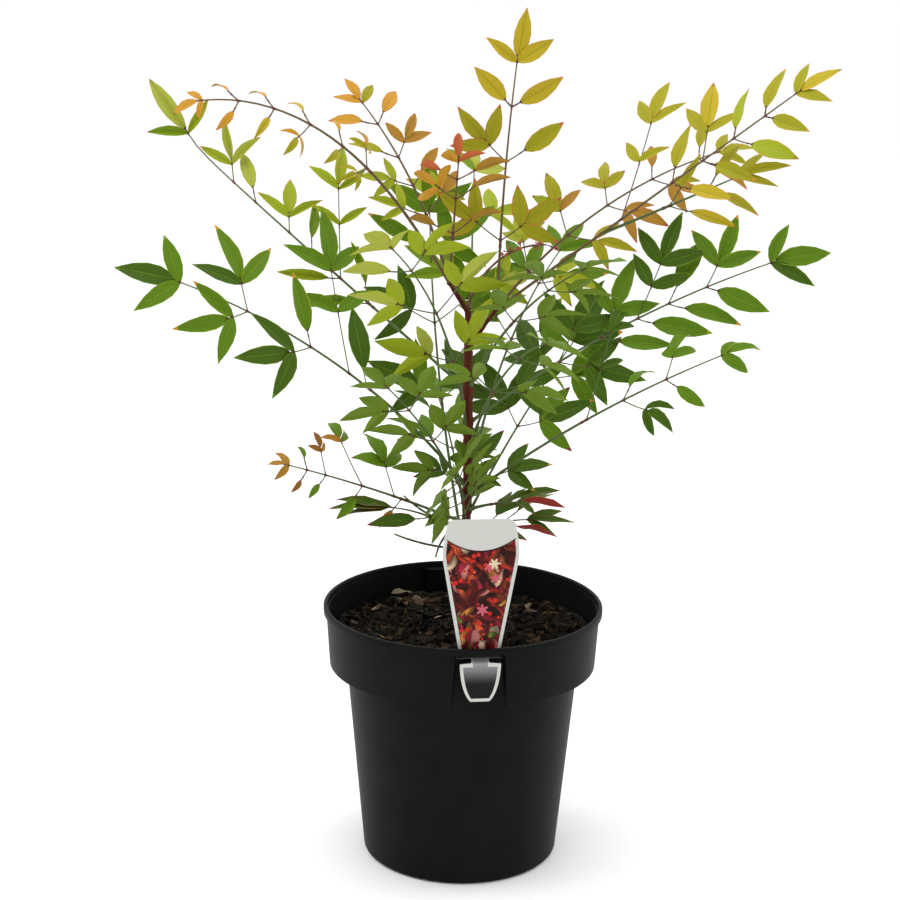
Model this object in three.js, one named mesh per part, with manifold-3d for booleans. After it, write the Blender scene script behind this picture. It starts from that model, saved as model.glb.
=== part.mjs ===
// Heavenly bamboo (nandina) in a round nursery pot.
//
// Frame: millimetres, +Z up. The pot's axis is x = y = 0, its flat underside is z = 0,
// and the plant label faces -Y. Angles are in degrees. A bearing is measured from +X
// towards +Y, and a rise is measured up from level.

import * as THREE from "three";
import { mergeVertices } from "three/addons/utils/BufferGeometryUtils.js";
import Module from "manifold-3d";

const wasm = await Module();
wasm.setup();

// ---------------------------------------------------------------- driving dimensions

const GAP = 0.3; // clearance between neighbouring solids
const FINEST = 0.02; // detail under this is left out where solids are joined
const CUT = 1; // how far a cutting block reaches past what it cuts

const POT = {
  height: 187,
  lipRadius: 100,
  lipHeight: 5.5,
  lipWidth: 3,
  lipEdge: 1.2, // rounding of the lip's top
  collarTop: 98, // outer radius just under the lip
  collarFoot: 95.5, // outer radius at the collar's lower edge
  collarBottom: 143, // height of the collar's lower edge
  bodyTop: 83.4, // outer radius under the collar
  bodyFoot: 70.5, // outer radius at the base
  edge: 4, // rounding round the base
  wall: 2,
  floor: 2.5,
  facets: 40,
};

const DRAIN = { holes: 6, ring: 48, radius: 6, facets: 8 };

// A flat recess in the collar, front and back. The front one has a slot over it for the label.
const RECESS = {
  width: 39,
  face: 91.3, // distance of its outer face from the pot's axis
  plate: 2,
  shoulder: 2.5, // width of the step on either side
  proud: 1.2, // height of that step over the face
  slotWidth: 33,
  slotSill: 177.8,
};

// The mix rises to a low mound, with rings at these shares of its radius.
const MIX = { top: 167, mound: 1.6, rings: [1, 0.6] };

const LABEL = {
  thick: 0.7,
  plane: 91.6, // distance of the upright tag from the pot's axis
  top: 276,
  corner: 6,
  cornerHalf: 23.5, // half width where the top corners begin
  broad: 251, // height of the widest point
  broadHalf: 26,
  rimHalf: 14,
  neckTop: 182,
  neckHalf: 8,
  tabPlane: 98.2,
  tabTop: 177.3,
  tabHalf: 14,
  tabBulge: 162, // height where the tab's sides are pulled out
  tabFoot: 149.5,
  tabFootHalf: 6.5,
  curve: 5, // steps in each curve of the outline
};

// The single cane: [height, radius] from the flared foot to the fork, with a slight lean.
const STEM = {
  girth: [[167.3, 5.6], [171, 4.2], [182, 3.2], [240, 2.7], [300, 3.1], [352, 3.4], [382, 2.6], [402, 1.8]],
  lean: 1.6,
  facets: 10,
};

const LIMB = { foot: 1.9, tip: 1.25, facets: 5, step: 30 };
const RACHIS = { foot: 1.3, tip: 0.95, facets: 4, step: 24 };
const TWIG = { foot: 1.15, tip: 1.0, facets: 3, past: 3.5 };

const LEAF = {
  thick: 1.1, // at the midrib; a leaf thins to its edge
  broadest: 0.42, // where along its length a leaf is widest
  sunk: 0.6, // how far its root goes into the twig
};

const SHORT_STALK = 12.5; // a side stalk shorter than this has one leaflet, the others three
const LONG_STALK = 40; // one longer than this has an extra pair, at this share of its length
const PAIR = { place: 0.6, fan: 54 };

// Length of the side, end and extra leaflets over that of the frond's row.
const SIZE = { side: 0.92, end: 1.06, pair: 0.78 };

// How far each measure strays from its row's value, either way: angles, or shares of it.
const STRAY = {
  tilt: 8, spread: 6, lift: 8, stalk: 0.06,
  fan: 8, roll: 15, length: 0.09, droop: 9, width: 0.07,
};

const BARE_END = 4; // a frond's bare stalk ends this far short of its first side stalk

// Limbs that carry several fronds: they leave the cane at this height.
const FORKS = [
  { name: "left_fork", height: 399, bearing: 223, rise: [48, 48], length: 31 },
  { name: "right_fork", height: 370, bearing: 13, rise: [62, 48], length: 37 },
];

// What every frond does unless its own row says otherwise.
const HABIT = {
  from: "main_stem",
  swing: 0, // turn of the bearing from foot to tip
  bow: 1, // above 1 the bend comes late
  tilt: 0, // roll of the leaf plane about the rachis
  spread: 55, // angle between the rachis and its side stalks
  fan: 52, // angle between a side leaflet and its stalk
  droop: 16, // bend of a leaflet from root to tip
  width: 0.33, // of a leaflet's length
  last: SIZE.end, // length of the rachis's own end leaflet over that of the row
};

// One compound leaf a row. nodes: [share of the rachis, left side stalk, right side stalk,
// length of their leaflets over that of the row, 1 if left out].
const FRONDS = [
  { name: "left_long", height: 273, bearing: 179, swing: 8, length: 252, rise: [52, 22], tilt: -60,
    leaf: 41, droop: 14, width: 0.31, spread: 52, fan: 57,
    nodes: [[0.41, 0, 9], [0.47, 0, 74], [0.6, 14, 8], [0.8, 13, 20]] },
  { name: "left_upper", height: 343, bearing: 155, swing: -5, length: 274, rise: [37, 58], bow: 22, tilt: -45,
    leaf: 33, droop: 15, width: 0.3, spread: 40, fan: 48, last: 1.6,
    nodes: [[0.34, 9, 12], [0.44, 6, 70], [0.54, 0, 10], [0.62, 0, 13], [0.74, 0, 9], [0.82, 0, 14]] },
  { name: "left_bronze", from: "left_fork", bearing: 196, swing: 6, length: 228, rise: [58, -4], bow: 1.8,
    tilt: -40, leaf: 16, droop: 60, width: 0.31, spread: 62, fan: 60,
    nodes: [[0.44, 16, 14], [0.54, 11, 10], [0.66, 22, 8], [0.78, 8, 8], [0.89, 7, 7]] },
  { name: "left_gold", from: "left_fork", bearing: 132, swing: 3, length: 142, rise: [69, 42], tilt: -30,
    leaf: 23, droop: 24, spread: 50, fan: 50,
    nodes: [[0.34, 16, 16], [0.5, 13, 10], [0.66, 9, 13], [0.86, 8, 8]] },
  { name: "copper_shoot", from: "left_fork", bearing: 277, swing: 6, length: 86, rise: [74, 81],
    leaf: 25, droop: 62, width: 0.27, spread: 60, fan: 60,
    nodes: [[0.42, 12, 12], [0.7, 12, 14], [0.86, 10, 10]] },
  { name: "top_gold", from: "right_fork", bearing: 35, swing: -5, length: 169, rise: [89, 82],
    leaf: 31, droop: 8, width: 0.36, spread: 52,
    nodes: [[0.28, 22, 18], [0.6, 16, 12], [0.82, 3, 3]] },
  { name: "right_bronze", from: "right_fork", bearing: 17, swing: -7, length: 199, rise: [49, 15], tilt: 40,
    leaf: 27, droop: 24, width: 0.32, spread: 60, fan: 50,
    nodes: [[0.17, 26, 20], [0.36, 18, 18], [0.54, 16, 14], [0.73, 10, 13], [0.92, 8, 10]] },
  { name: "right_gold", from: "right_fork", bearing: 338, length: 251, rise: [38, 38], tilt: 55,
    bare: 0.36, leaf: 31, droop: 14, spread: 52, fan: 50,
    nodes: [[0.43, 74, 0], [0.6, 8, 12], [0.7, 20, 8], [0.8, 4, 12], [0.9, 3, 3]] },
  { name: "right_gold_lower", from: "right_gold", bearing: 347, swing: -8, length: 100, rise: [24, 26],
    tilt: 50, leaf: 30, droop: 22, width: 0.24, spread: 40, fan: 40,
    nodes: [[0.5, 12, 12], [0.78, 8, 8]] },
  { name: "right_long", height: 319, bearing: -2, length: 240, rise: [38, 19], tilt: 60,
    leaf: 38, droop: 10, spread: 40,
    nodes: [[0.32, 24, 20], [0.46, 18, 11], [0.58, 42, 8], [0.68, 11, 9], [0.8, 18, 5]] },
  { name: "right_low", height: 266, bearing: 338, length: 210, rise: [40, 26], tilt: 50,
    leaf: 24, droop: 80, width: 0.36, spread: 52, fan: 50,
    nodes: [[0.5, 64, 0], [0.64, 8, 26], [0.8, 16, 8]] },
  { name: "rear_right", height: 261, bearing: 52, swing: -8, length: 205, rise: [75, 37], tilt: 20,
    leaf: 34, droop: 15, width: 0.34,
    nodes: [[0.4, 16, 18], [0.6, 24, 22], [0.84, 15, 15]] },
  { name: "right_inner", height: 250, bearing: 27, length: 150, rise: [58, 47], tilt: 30,
    leaf: 38, droop: 20, width: 0.35,
    nodes: [[0.22, 14, 16, 0.75], [0.5, 16, 18], [0.78, 20, 18]] },
  { name: "rear_tall", height: 221, bearing: 108, length: 250, rise: [62, 86],
    leaf: 38, droop: 12, fan: 60,
    nodes: [[0.46, 18, 16], [0.68, 22, 24], [0.88, 11, 14]] },
  { name: "front_lime", height: 305, bearing: 236, swing: -5, length: 186, rise: [78, 34], tilt: 35,
    leaf: 34, droop: 18,
    nodes: [[0.36, 16, 18], [0.6, 26, 24], [0.85, 14, 11]] },
  { name: "left_inner", height: 262, bearing: 214, length: 118, rise: [62, 42], tilt: 40,
    leaf: 30, droop: 20, width: 0.35,
    nodes: [[0.24, 16, 14, 0.9], [0.5, 14, 14], [0.78, 14, 14]] },
  { name: "left_low", height: 246, bearing: 192, length: 140, rise: [26, 18], tilt: -55,
    leaf: 17, droop: 50, width: 0.4, spread: 62, last: 0.7,
    nodes: [[0.38, 8, 0, 0.9], [0.42, 0, 22, 1.6], [0.6, 9, 38, 1.1], [0.8, 8, 16, 0.65],
      [0.9, 6, 6, 0.65]] },
  { name: "right_foot", height: 256, bearing: 328, length: 40, rise: [24, 8], tilt: 18,
    leaf: 32, droop: 12, width: 0.27, spread: 32, fan: 30,
    nodes: [[0.6, 11, 0]] },
  { name: "front_mid", height: 296, bearing: 284, length: 172, rise: [60, 18], tilt: -25,
    leaf: 32, droop: 18, width: 0.34,
    nodes: [[0.42, 20, 20], [0.74, 16, 16]] },
  { name: "rear_mid", height: 322, bearing: 82, length: 214, rise: [62, 34], tilt: 20,
    leaf: 34,
    nodes: [[0.46, 22, 22], [0.76, 18, 16]] },
  { name: "front_right", height: 344, bearing: 304, length: 150, rise: [58, 26], tilt: -30,
    leaf: 31, droop: 18,
    nodes: [[0.48, 18, 18], [0.76, 14, 14]] },
  { name: "front_foot", height: 240, bearing: 255, length: 80, rise: [58, 32], tilt: 55,
    leaf: 27,
    nodes: [[0.24, 14, 14], [0.44, 14, 14], [0.64, 14, 14], [0.84, 11, 11]] },
  { name: "rear_foot", height: 246, bearing: 96, length: 128, rise: [50, 20], tilt: 15,
    leaf: 31,
    nodes: [[0.24, 14, 14, 0.8], [0.5, 18, 18], [0.78, 10, 10]] },
  { name: "right_foot_low", height: 238, bearing: 345, length: 46, rise: [30, 4], tilt: 20,
    leaf: 30, droop: 12, width: 0.27, spread: 38, fan: 34,
    nodes: [[0.3, 14, 11], [0.6, 11, 11]] },
  { name: "left_foot", height: 236, bearing: 190, length: 62, rise: [40, 10], tilt: -20,
    leaf: 42, droop: 10, width: 0.27, spread: 26, fan: 14,
    nodes: [[0.5, 11, 0]] },
];

// Old petioles cut back to bare stubs, low on the cane.
const STUBS = [
  { name: "cut_stub_upper", height: 243, bearing: 182, rise: [12, 46], length: 52 },
  { name: "cut_stub_lower", height: 227, bearing: 190, rise: [6, 26], length: 55 },
  { name: "cut_stub_short", height: 247, bearing: 204, rise: [-4, -80], length: 36 },
];

// The spent flower spray that ends the cane: a twig whose outer half carries buds.
const SPRAY = {
  name: "flower_spray", bearing: 18, rise: [74, -6], length: 78, step: 10,
  buds: 7, bud: 2.6, stalk: 8, outer: 0.5, splay: 60, stray: 20,
};

const FINISH = {
  pot: { color: "#1d1e20", roughness: 0.5 },
  potting_mix: { color: "#2b211b", roughness: 0.95 },
  plant_label: { color: "#e8e6e2", roughness: 0.4 },
  main_stem: { color: "#4a2420", roughness: 0.7 },
  stalk: { color: "#5b6a34", roughness: 0.7 },
  leaf: { color: "#4c7a2b", roughness: 0.55 },
  flower: { color: "#8c3b2c", roughness: 0.7 },
};

// ---------------------------------------------------------------- numbers and vectors

const RADIANS = Math.PI / 180;
const UP = new THREE.Vector3(0, 0, 1);

/** Seeded draws: call with a spread to get a number between -spread and +spread. */
function seeded(seed) {
  let state = seed * 7919 + 17;
  return (spread) => {
    state = (state * 48271) % 2147483647;
    return ((2 * state) / 2147483647 - 1) * spread;
  };
}

/** A vector turned by degrees about an axis. */
function turned(vector, axis, degrees) {
  return vector.clone().applyAxisAngle(axis, degrees * RADIANS);
}

/** The unit part of one vector that is square to another. */
function squared(vector, to) {
  return vector.clone().addScaledVector(to, -vector.dot(to)).normalize();
}

/** The unit direction with this bearing and rise. */
function heading(bearing, rise) {
  const level = Math.cos(rise * RADIANS);
  const b = bearing * RADIANS;
  return new THREE.Vector3(level * Math.cos(b), level * Math.sin(b), Math.sin(rise * RADIANS));
}

// ---------------------------------------------------------------- courses

const COURSE_STEPS = 24;
const UPRIGHT = 0.15; // sine of the lean under which a limb counts as upright
const END = 0.49; // share of a unit rod's length past which a vertex is on its end

/** A course: points and headings of a limb whose rise and bearing change as it grows. */
function course(start, { bearing, swing = 0, rise, bow = 1, length }) {
  const way = (t) => heading(bearing + swing * t, rise[0] + (rise[1] - rise[0]) * t ** bow);
  const points = [start.clone()];
  const headings = [way(0)];
  for (let i = 0; i < COURSE_STEPS; i += 1) {
    const step = way((i + 0.5) / COURSE_STEPS).multiplyScalar(length / COURSE_STEPS);
    points.push(points[i].clone().add(step));
    headings.push(way((i + 1) / COURSE_STEPS));
  }
  return { points, headings, length };
}

/** The value of a list of vectors at a fraction of its length. */
function along(list, t) {
  const last = list.length - 1;
  const i = Math.min(Math.floor(t * last), last - 1);
  return list[i].clone().lerp(list[i + 1], t * last - i);
}

/** The upper side of a limb: square to its heading, rolled by a tilt. */
function facing(direction, tilt) {
  let side = new THREE.Vector3().crossVectors(direction, UP);
  if (side.length() < UPRIGHT) side = new THREE.Vector3(1, 0, 0);
  const upper = side.normalize().cross(direction).normalize();
  return turned(upper, direction, tilt);
}

// ---------------------------------------------------------------- solids

/** A closed geometry as a manifold solid. */
function solid(geometry) {
  const bare = new THREE.BufferGeometry();
  bare.setAttribute("position", geometry.getAttribute("position"));
  bare.setIndex(geometry.getIndex());
  const merged = mergeVertices(bare, 1e-4);
  return new wasm.Manifold(new wasm.Mesh({
    numProp: 3,
    vertProperties: Float32Array.from(merged.getAttribute("position").array),
    triVerts: Uint32Array.from(merged.getIndex().array),
  }));
}

/** Moves every vertex of a geometry to where a function sends it. */
function reshaped(geometry, place) {
  const position = geometry.getAttribute("position");
  const vertex = new THREE.Vector3();
  for (let i = 0; i < position.count; i += 1) {
    vertex.fromBufferAttribute(position, i);
    const moved = place(vertex);
    position.setXYZ(i, moved.x, moved.y, moved.z);
  }
  return geometry;
}

/**
 * A tapered limb: a cylinder bent along a course between two fractions of it. Grown makes
 * it fatter and longer at both ends by that much, for the room it keeps round itself.
 */
function limb(path, from, to, { foot, tip, facets, step }, grown = 0) {
  const length = (to - from) * path.length;
  const rings = Math.max(1, Math.round(length / step));
  const rod = new THREE.CylinderGeometry(tip + grown, foot + grown, 1, facets, rings);
  return solid(reshaped(rod, (v) => {
    const t = from + (to - from) * (v.y + 0.5);
    const direction = along(path.headings, t).normalize();
    const upper = facing(direction, 0);
    const side = new THREE.Vector3().crossVectors(direction, upper);
    const end = Math.abs(v.y) > END ? Math.sign(v.y) * grown : 0;
    return along(path.points, t)
      .addScaledVector(side, v.x)
      .addScaledVector(upper, v.z)
      .addScaledVector(direction, end);
  }));
}

/** A straight tapered rod between two points. */
function rod(start, end, shape, grown = 0) {
  const direction = end.clone().sub(start).normalize();
  const path = { points: [start, end], headings: [direction, direction], length: start.distanceTo(end) };
  return limb(path, 0, 1, { ...shape, step: path.length }, grown);
}

/**
 * A leaflet: an octahedron drawn out to root, tip, two edges and a midrib, and bent down
 * along its length.
 */
function leaflet({ root, direction, normal, length, droop, width }, grown = 0) {
  const side = new THREE.Vector3().crossVectors(normal, direction);
  const bend = droop * RADIANS;
  const whole = length + LEAF.sunk + 2 * grown;
  return solid(reshaped(new THREE.OctahedronGeometry(1), (v) => {
    const u = Math.abs(v.x) > 0.5 ? (v.x + 1) / 2 : LEAF.broadest;
    const forward = (whole * Math.sin(bend * u)) / bend;
    const down = (whole * (1 - Math.cos(bend * u))) / bend;
    return root.clone()
      .addScaledVector(direction, forward - LEAF.sunk - grown)
      .addScaledVector(normal, -down + v.z * (LEAF.thick / 2 + grown))
      .addScaledVector(side, v.y * ((width * length) / 2 + grown));
  }));
}

/** Joins solids into one and keeps its largest body, without slivers. */
function joined(solids) {
  const bodies = wasm.Manifold.union(solids).asOriginal().simplify(FINEST).decompose();
  return bodies.reduce((best, body) => (body.volume() > best.volume() ? body : best));
}

// ---------------------------------------------------------------- room between pieces

const room = []; // every piece placed so far, with its box and its node

/** Notes a solid as taking up room for a node. */
function settle(piece, node) {
  room.push({ piece, box: piece.boundingBox(), node });
}

/** Whether two boxes share any space. */
function boxesMeet(a, b) {
  return [0, 1, 2].every((i) => a.min[i] < b.max[i] && b.min[i] < a.max[i]);
}

/** Whether a solid is clear of all the pieces that belong to other nodes. */
function isClear(probe, node) {
  const box = probe.boundingBox();
  const near = room.filter((other) => other.node !== node && boxesMeet(box, other.box));
  return near.every(({ piece }) => piece.intersect(probe).isEmpty());
}

// ---------------------------------------------------------------- the growth rule

/** One leaflet, fanned out from its stem by an angle, with each measure straying a little. */
function leafAt(draw, frond, root, direction, normal, fan, size) {
  const way = turned(direction, normal, fan + draw(STRAY.fan));
  const upper = squared(turned(normal, way, draw(STRAY.roll)), way);
  const length = frond.leaf * size * (1 + draw(STRAY.length));
  const droop = frond.droop + draw(STRAY.droop);
  const width = frond.width * (1 + draw(STRAY.width));
  return { root, direction: way, normal: upper, length, droop, width };
}

/** Two leaflets that face each other. */
function pairAt(draw, frond, root, direction, normal, fan, size) {
  return [fan, -fan].map((angle) => leafAt(draw, frond, root, direction, normal, angle, size));
}

/** The leaflets at a stalk's tip: the end one and, unless it stands single, a pair. */
function sprig(draw, frond, tip, direction, normal, single, size, last) {
  const pair = single ? [] : pairAt(draw, frond, tip, direction, normal, frond.fan, SIZE.side * size);
  const root = tip.clone().addScaledVector(direction, TWIG.past);
  return [...pair, leafAt(draw, frond, root, direction, normal, 0, last * size)];
}

/** Side stalks and leaflets of a frond, drawn node by node from its foot to its tip. */
function growth(frond, path) {
  const draw = seeded(frond.seed);
  const sprays = [];
  for (const [place, left, right, size = 1] of frond.nodes) {
    for (const [hand, stalk] of [[1, left], [-1, right]]) {
      if (stalk > 0) {
        const start = along(path.points, place);
        const rachis = along(path.headings, place).normalize();
        let upper = facing(rachis, frond.tilt + draw(STRAY.tilt));
        let way = turned(rachis, upper, hand * frond.spread + draw(STRAY.spread));
        way = turned(way, new THREE.Vector3().crossVectors(way, upper), draw(STRAY.lift));
        upper = squared(upper, way);
        const length = stalk * (1 + draw(STRAY.stalk));
        const tip = start.clone().addScaledVector(way, length);
        const leaves = [];
        if (stalk > LONG_STALK) {
          const root = start.clone().addScaledVector(way, length * PAIR.place);
          leaves.push(...pairAt(draw, frond, root, way, upper, PAIR.fan, SIZE.pair * size));
        }
        leaves.push(...sprig(draw, frond, tip, way, upper, stalk < SHORT_STALK, size, SIZE.end));
        sprays.push({ start, end: tip.clone().addScaledVector(way, TWIG.past), leaves });
      }
    }
  }
  const direction = along(path.headings, 1).normalize();
  const upper = facing(direction, frond.tilt + draw(STRAY.tilt));
  const tip = along(path.points, 1);
  const leaves = sprig(draw, frond, tip, direction, upper, false, 1, frond.last);
  sprays.push({ start: tip, end: tip.clone().addScaledVector(direction, TWIG.past), leaves });
  return sprays;
}

// ---------------------------------------------------------------- pot, mix and label

/** The points of a quarter round, counter-clockwise from a bearing, about a centre. */
function quarterRound(r, z, radius, from) {
  return [0, 45, 90].map((angle) => [
    r + radius * Math.cos((from + angle) * RADIANS),
    z + radius * Math.sin((from + angle) * RADIANS),
  ]);
}

/** An outline of radii and heights turned about the pot's axis. */
function turnedSolid(outline, facets) {
  const lathe = new THREE.LatheGeometry(outline.map(([r, z]) => new THREE.Vector2(r, z)), facets);
  return solid(lathe.rotateX(Math.PI / 2));
}

/** A box between two corners. */
function block(low, high) {
  const size = high.map((value, i) => value - low[i]);
  const middle = high.map((value, i) => (value + low[i]) / 2);
  return solid(new THREE.BoxGeometry(...size).translate(...middle));
}

/** A block on the front of the pot and, turned half round, the same at the back. */
function frontAndBack(low, high) {
  const front = block(low, high);
  return wasm.Manifold.union([front, front.rotate([0, 0, 180])]);
}

/** The pot: body, stepped collar, lip, label recesses with their slots, and drain holes. */
function makePot() {
  const under = POT.height - POT.lipHeight;
  const shell = turnedSolid([
    [0, 0],
    ...quarterRound(POT.bodyFoot - POT.edge, POT.edge, POT.edge, -90),
    [POT.bodyTop, POT.collarBottom],
    [POT.collarFoot, POT.collarBottom],
    [POT.collarTop, under],
    [POT.lipRadius, under],
    ...quarterRound(POT.lipRadius - POT.lipEdge, POT.height - POT.lipEdge, POT.lipEdge, 0),
    [POT.lipRadius - POT.lipWidth, POT.height],
    [POT.collarTop - POT.wall, under],
    [POT.collarFoot - POT.wall, POT.collarBottom + POT.wall],
    [POT.bodyTop - POT.wall, POT.collarBottom + POT.wall],
    [POT.bodyFoot - POT.wall, POT.floor],
    [0, POT.floor],
  ], POT.facets);
  const half = RECESS.width / 2;
  const inner = RECESS.face - RECESS.plate;
  const plates = frontAndBack(
    [-half - RECESS.shoulder, -RECESS.face - RECESS.proud, POT.collarBottom],
    [half + RECESS.shoulder, -inner, under],
  );
  const recesses = frontAndBack(
    [-half, -POT.lipRadius, POT.collarBottom - CUT],
    [half, -RECESS.face, under],
  );
  const slot = block(
    [-RECESS.slotWidth / 2, -POT.lipRadius, RECESS.slotSill],
    [RECESS.slotWidth / 2, -inner + CUT, under],
  );
  const depth = 2 * (POT.floor + CUT);
  const drain = new THREE.CylinderGeometry(DRAIN.radius, DRAIN.radius, depth, DRAIN.facets);
  drain.rotateX(Math.PI / 2);
  drain.translate(DRAIN.ring, 0, 0);
  const hole = solid(drain);
  const holes = Array.from({ length: DRAIN.holes }, (_, i) => hole.rotate([0, 0, (360 * i) / DRAIN.holes]));
  return shell.add(plates).subtract(recesses).subtract(slot).subtract(wasm.Manifold.union(holes));
}

/** The potting mix: it fills the pot to a low mound, clear of the wall and the recess plates. */
function makeMix() {
  const bodyInner = POT.bodyTop - POT.wall - GAP;
  const step = POT.collarBottom + POT.wall + GAP;
  const collarInner = POT.collarFoot - POT.wall - GAP;
  const heap = turnedSolid([
    [0, POT.floor + GAP],
    [POT.bodyFoot - POT.wall - GAP, POT.floor + GAP],
    [bodyInner, step],
    [collarInner, step],
    ...MIX.rings.map((share) => [collarInner * share, MIX.top - MIX.mound * share ** 2]),
    [0, MIX.top],
  ], POT.facets);
  const half = RECESS.width / 2 + RECESS.shoulder + GAP;
  const inner = RECESS.face - RECESS.plate - GAP;
  return heap.subtract(frontAndBack([-half, -POT.lipRadius, step - CUT], [half, -inner, POT.height]));
}

/** An upright plate with this outline in x and z, its front face at y = -plane. */
function plate(shape, plane) {
  const options = { depth: LABEL.thick, bevelEnabled: false, curveSegments: LABEL.curve };
  const slab = new THREE.ExtrudeGeometry(shape, options);
  return solid(slab.rotateX(Math.PI / 2).translate(0, -plane + LABEL.thick, 0));
}

/** The label: an upright tag inside the rim, a neck through the slot and a tab outside. */
function makeLabel() {
  const { top, corner, cornerHalf, broad, broadHalf, rimHalf, neckTop, neckHalf } = LABEL;
  const sill = RECESS.slotSill + GAP;
  const cornerFoot = top - corner;
  const between = (broad + cornerFoot) / 2;
  const tag = new THREE.Shape();
  tag.moveTo(-neckHalf, sill);
  tag.lineTo(neckHalf, sill);
  tag.lineTo(neckHalf, neckTop);
  tag.lineTo(rimHalf, neckTop);
  tag.lineTo(broadHalf, broad);
  tag.quadraticCurveTo(broadHalf, between, cornerHalf, cornerFoot);
  tag.quadraticCurveTo(cornerHalf, top, cornerHalf - corner, top);
  tag.lineTo(-cornerHalf + corner, top);
  tag.quadraticCurveTo(-cornerHalf, top, -cornerHalf, cornerFoot);
  tag.quadraticCurveTo(-broadHalf, between, -broadHalf, broad);
  tag.lineTo(-rimHalf, neckTop);
  tag.lineTo(-neckHalf, neckTop);
  tag.closePath();
  const { tabPlane, tabTop, tabHalf, tabBulge, tabFoot, tabFootHalf } = LABEL;
  const tab = new THREE.Shape();
  tab.moveTo(-tabFootHalf, tabFoot);
  tab.lineTo(tabFootHalf, tabFoot);
  tab.quadraticCurveTo(tabHalf, tabBulge, tabHalf, tabTop);
  tab.lineTo(neckHalf, tabTop);
  tab.lineTo(neckHalf, sill + LABEL.thick);
  tab.lineTo(-neckHalf, sill + LABEL.thick);
  tab.lineTo(-neckHalf, tabTop);
  tab.lineTo(-tabHalf, tabTop);
  tab.quadraticCurveTo(-tabHalf, tabBulge, -tabFootHalf, tabFoot);
  tab.closePath();
  const neck = block(
    [-neckHalf, -tabPlane, sill],
    [neckHalf, -LABEL.plane + LABEL.thick, sill + LABEL.thick],
  );
  return joined([plate(tag, LABEL.plane), plate(tab, tabPlane), neck]);
}

// ---------------------------------------------------------------- cane, limbs and fronds

/** The cane's centre at a height: upright with a slight lean and sway. */
function caneCentre(z) {
  const [foot] = STEM.girth[0];
  const [top] = STEM.girth.at(-1);
  const t = THREE.MathUtils.clamp((z - foot) / (top - foot), 0, 1);
  return new THREE.Vector3(STEM.lean * Math.sin(Math.PI * t), -STEM.lean * t, z);
}

/** The cane: a cylinder whose rings follow the girths, flared over its flat foot. */
function cane(grown = 0) {
  const rings = STEM.girth.length - 1;
  return solid(reshaped(new THREE.CylinderGeometry(1, 1, rings, STEM.facets, rings), (v) => {
    const ring = Math.round(v.y + rings / 2);
    const [z, radius] = STEM.girth[ring];
    const end = ring === rings ? grown : 0;
    const reach = radius + (v.x === 0 && v.z === 0 ? 0 : grown);
    const centre = caneCentre(z);
    return new THREE.Vector3(centre.x + v.x * reach, centre.y - v.z * reach, z + end);
  }));
}

const model = new THREE.Group();

/** Adds a solid to the model as a named mesh with a finish. */
function addNode(name, piece, finish) {
  const { numProp, vertProperties, triVerts } = piece.getMesh();
  const geometry = new THREE.BufferGeometry();
  geometry.setAttribute("position", new THREE.BufferAttribute(Float32Array.from(vertProperties), numProp));
  geometry.setIndex(new THREE.BufferAttribute(Uint32Array.from(triVerts), 1));
  geometry.computeVertexNormals();
  const mesh = new THREE.Mesh(geometry, new THREE.MeshStandardMaterial(finish));
  mesh.name = name;
  model.add(mesh);
}

const tips = new Map(); // where each carrying limb ends
const keepOut = []; // the cane, limbs and rachises, grown by the gap

/** Cuts away what would touch the cane, a limb or a rachis that is already there. */
function cleared(piece) {
  const box = piece.boundingBox();
  const near = keepOut.filter((other) => boxesMeet(box, other.boundingBox()));
  const bodies = near.reduce((rest, other) => rest.subtract(other), piece).decompose();
  return bodies.reduce((best, body) => (body.volume() > best.volume() ? body : best));
}

/** Grows a limb between two shares of a course, and keeps the room round it. */
function grow(node, path, from, to, shape) {
  const piece = cleared(limb(path, from, to, shape));
  keepOut.push(limb(path, from, to, shape, GAP));
  settle(piece, node);
  return piece;
}

/** The leafy part of a frond: rachis, side stalks and leaflets fused into one solid. */
function addLeaves({ leaves: node, path, rachis, ...frond }) {
  const parts = [rachis];
  for (const spray of growth(frond, path)) {
    if (isClear(rod(spray.start, spray.end, TWIG, GAP), node)) {
      parts.push(rod(spray.start, spray.end, TWIG));
      const free = spray.leaves.filter((leaf) => isClear(leaflet(leaf, GAP), node));
      parts.push(...free.map((leaf) => leaflet(leaf)));
    }
  }
  parts.forEach((part) => settle(part, node));
  addNode(node, joined(parts), FINISH.leaf);
}

/** The spent flower spray: a thin curved twig with buds on short stalks. */
function addFlowerSpray() {
  const path = course(caneCentre(STEM.girth.at(-1)[0] + GAP), SPRAY);
  const draw = seeded(SPRAY.buds);
  const parts = [grow(SPRAY.name, path, 0, 1, { ...RACHIS, step: SPRAY.step })];
  for (let i = 0; i < SPRAY.buds; i += 1) {
    const share = SPRAY.outer + ((1 - SPRAY.outer) * i) / (SPRAY.buds - 1);
    const hand = i % 2 ? 1 : -1;
    const start = along(path.points, share);
    const way = turned(along(path.headings, share), UP, hand * SPRAY.splay + draw(SPRAY.stray)).normalize();
    const end = start.clone().addScaledVector(way, SPRAY.stalk);
    const bud = solid(new THREE.OctahedronGeometry(SPRAY.bud).translate(...end));
    const stalk = rod(start, end, TWIG);
    if (isClear(bud, SPRAY.name) && isClear(stalk, SPRAY.name)) parts.push(stalk, bud);
  }
  parts.forEach((part) => settle(part, SPRAY.name));
  addNode(SPRAY.name, joined(parts), FINISH.flower);
}

/** Where a limb starts: on the cane's centre, or at the tip of the limb that carries it. */
function startOf(row) {
  return row.height === undefined ? tips.get(row.from).clone() : caneCentre(row.height);
}

// ---------------------------------------------------------------- assembly

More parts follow.
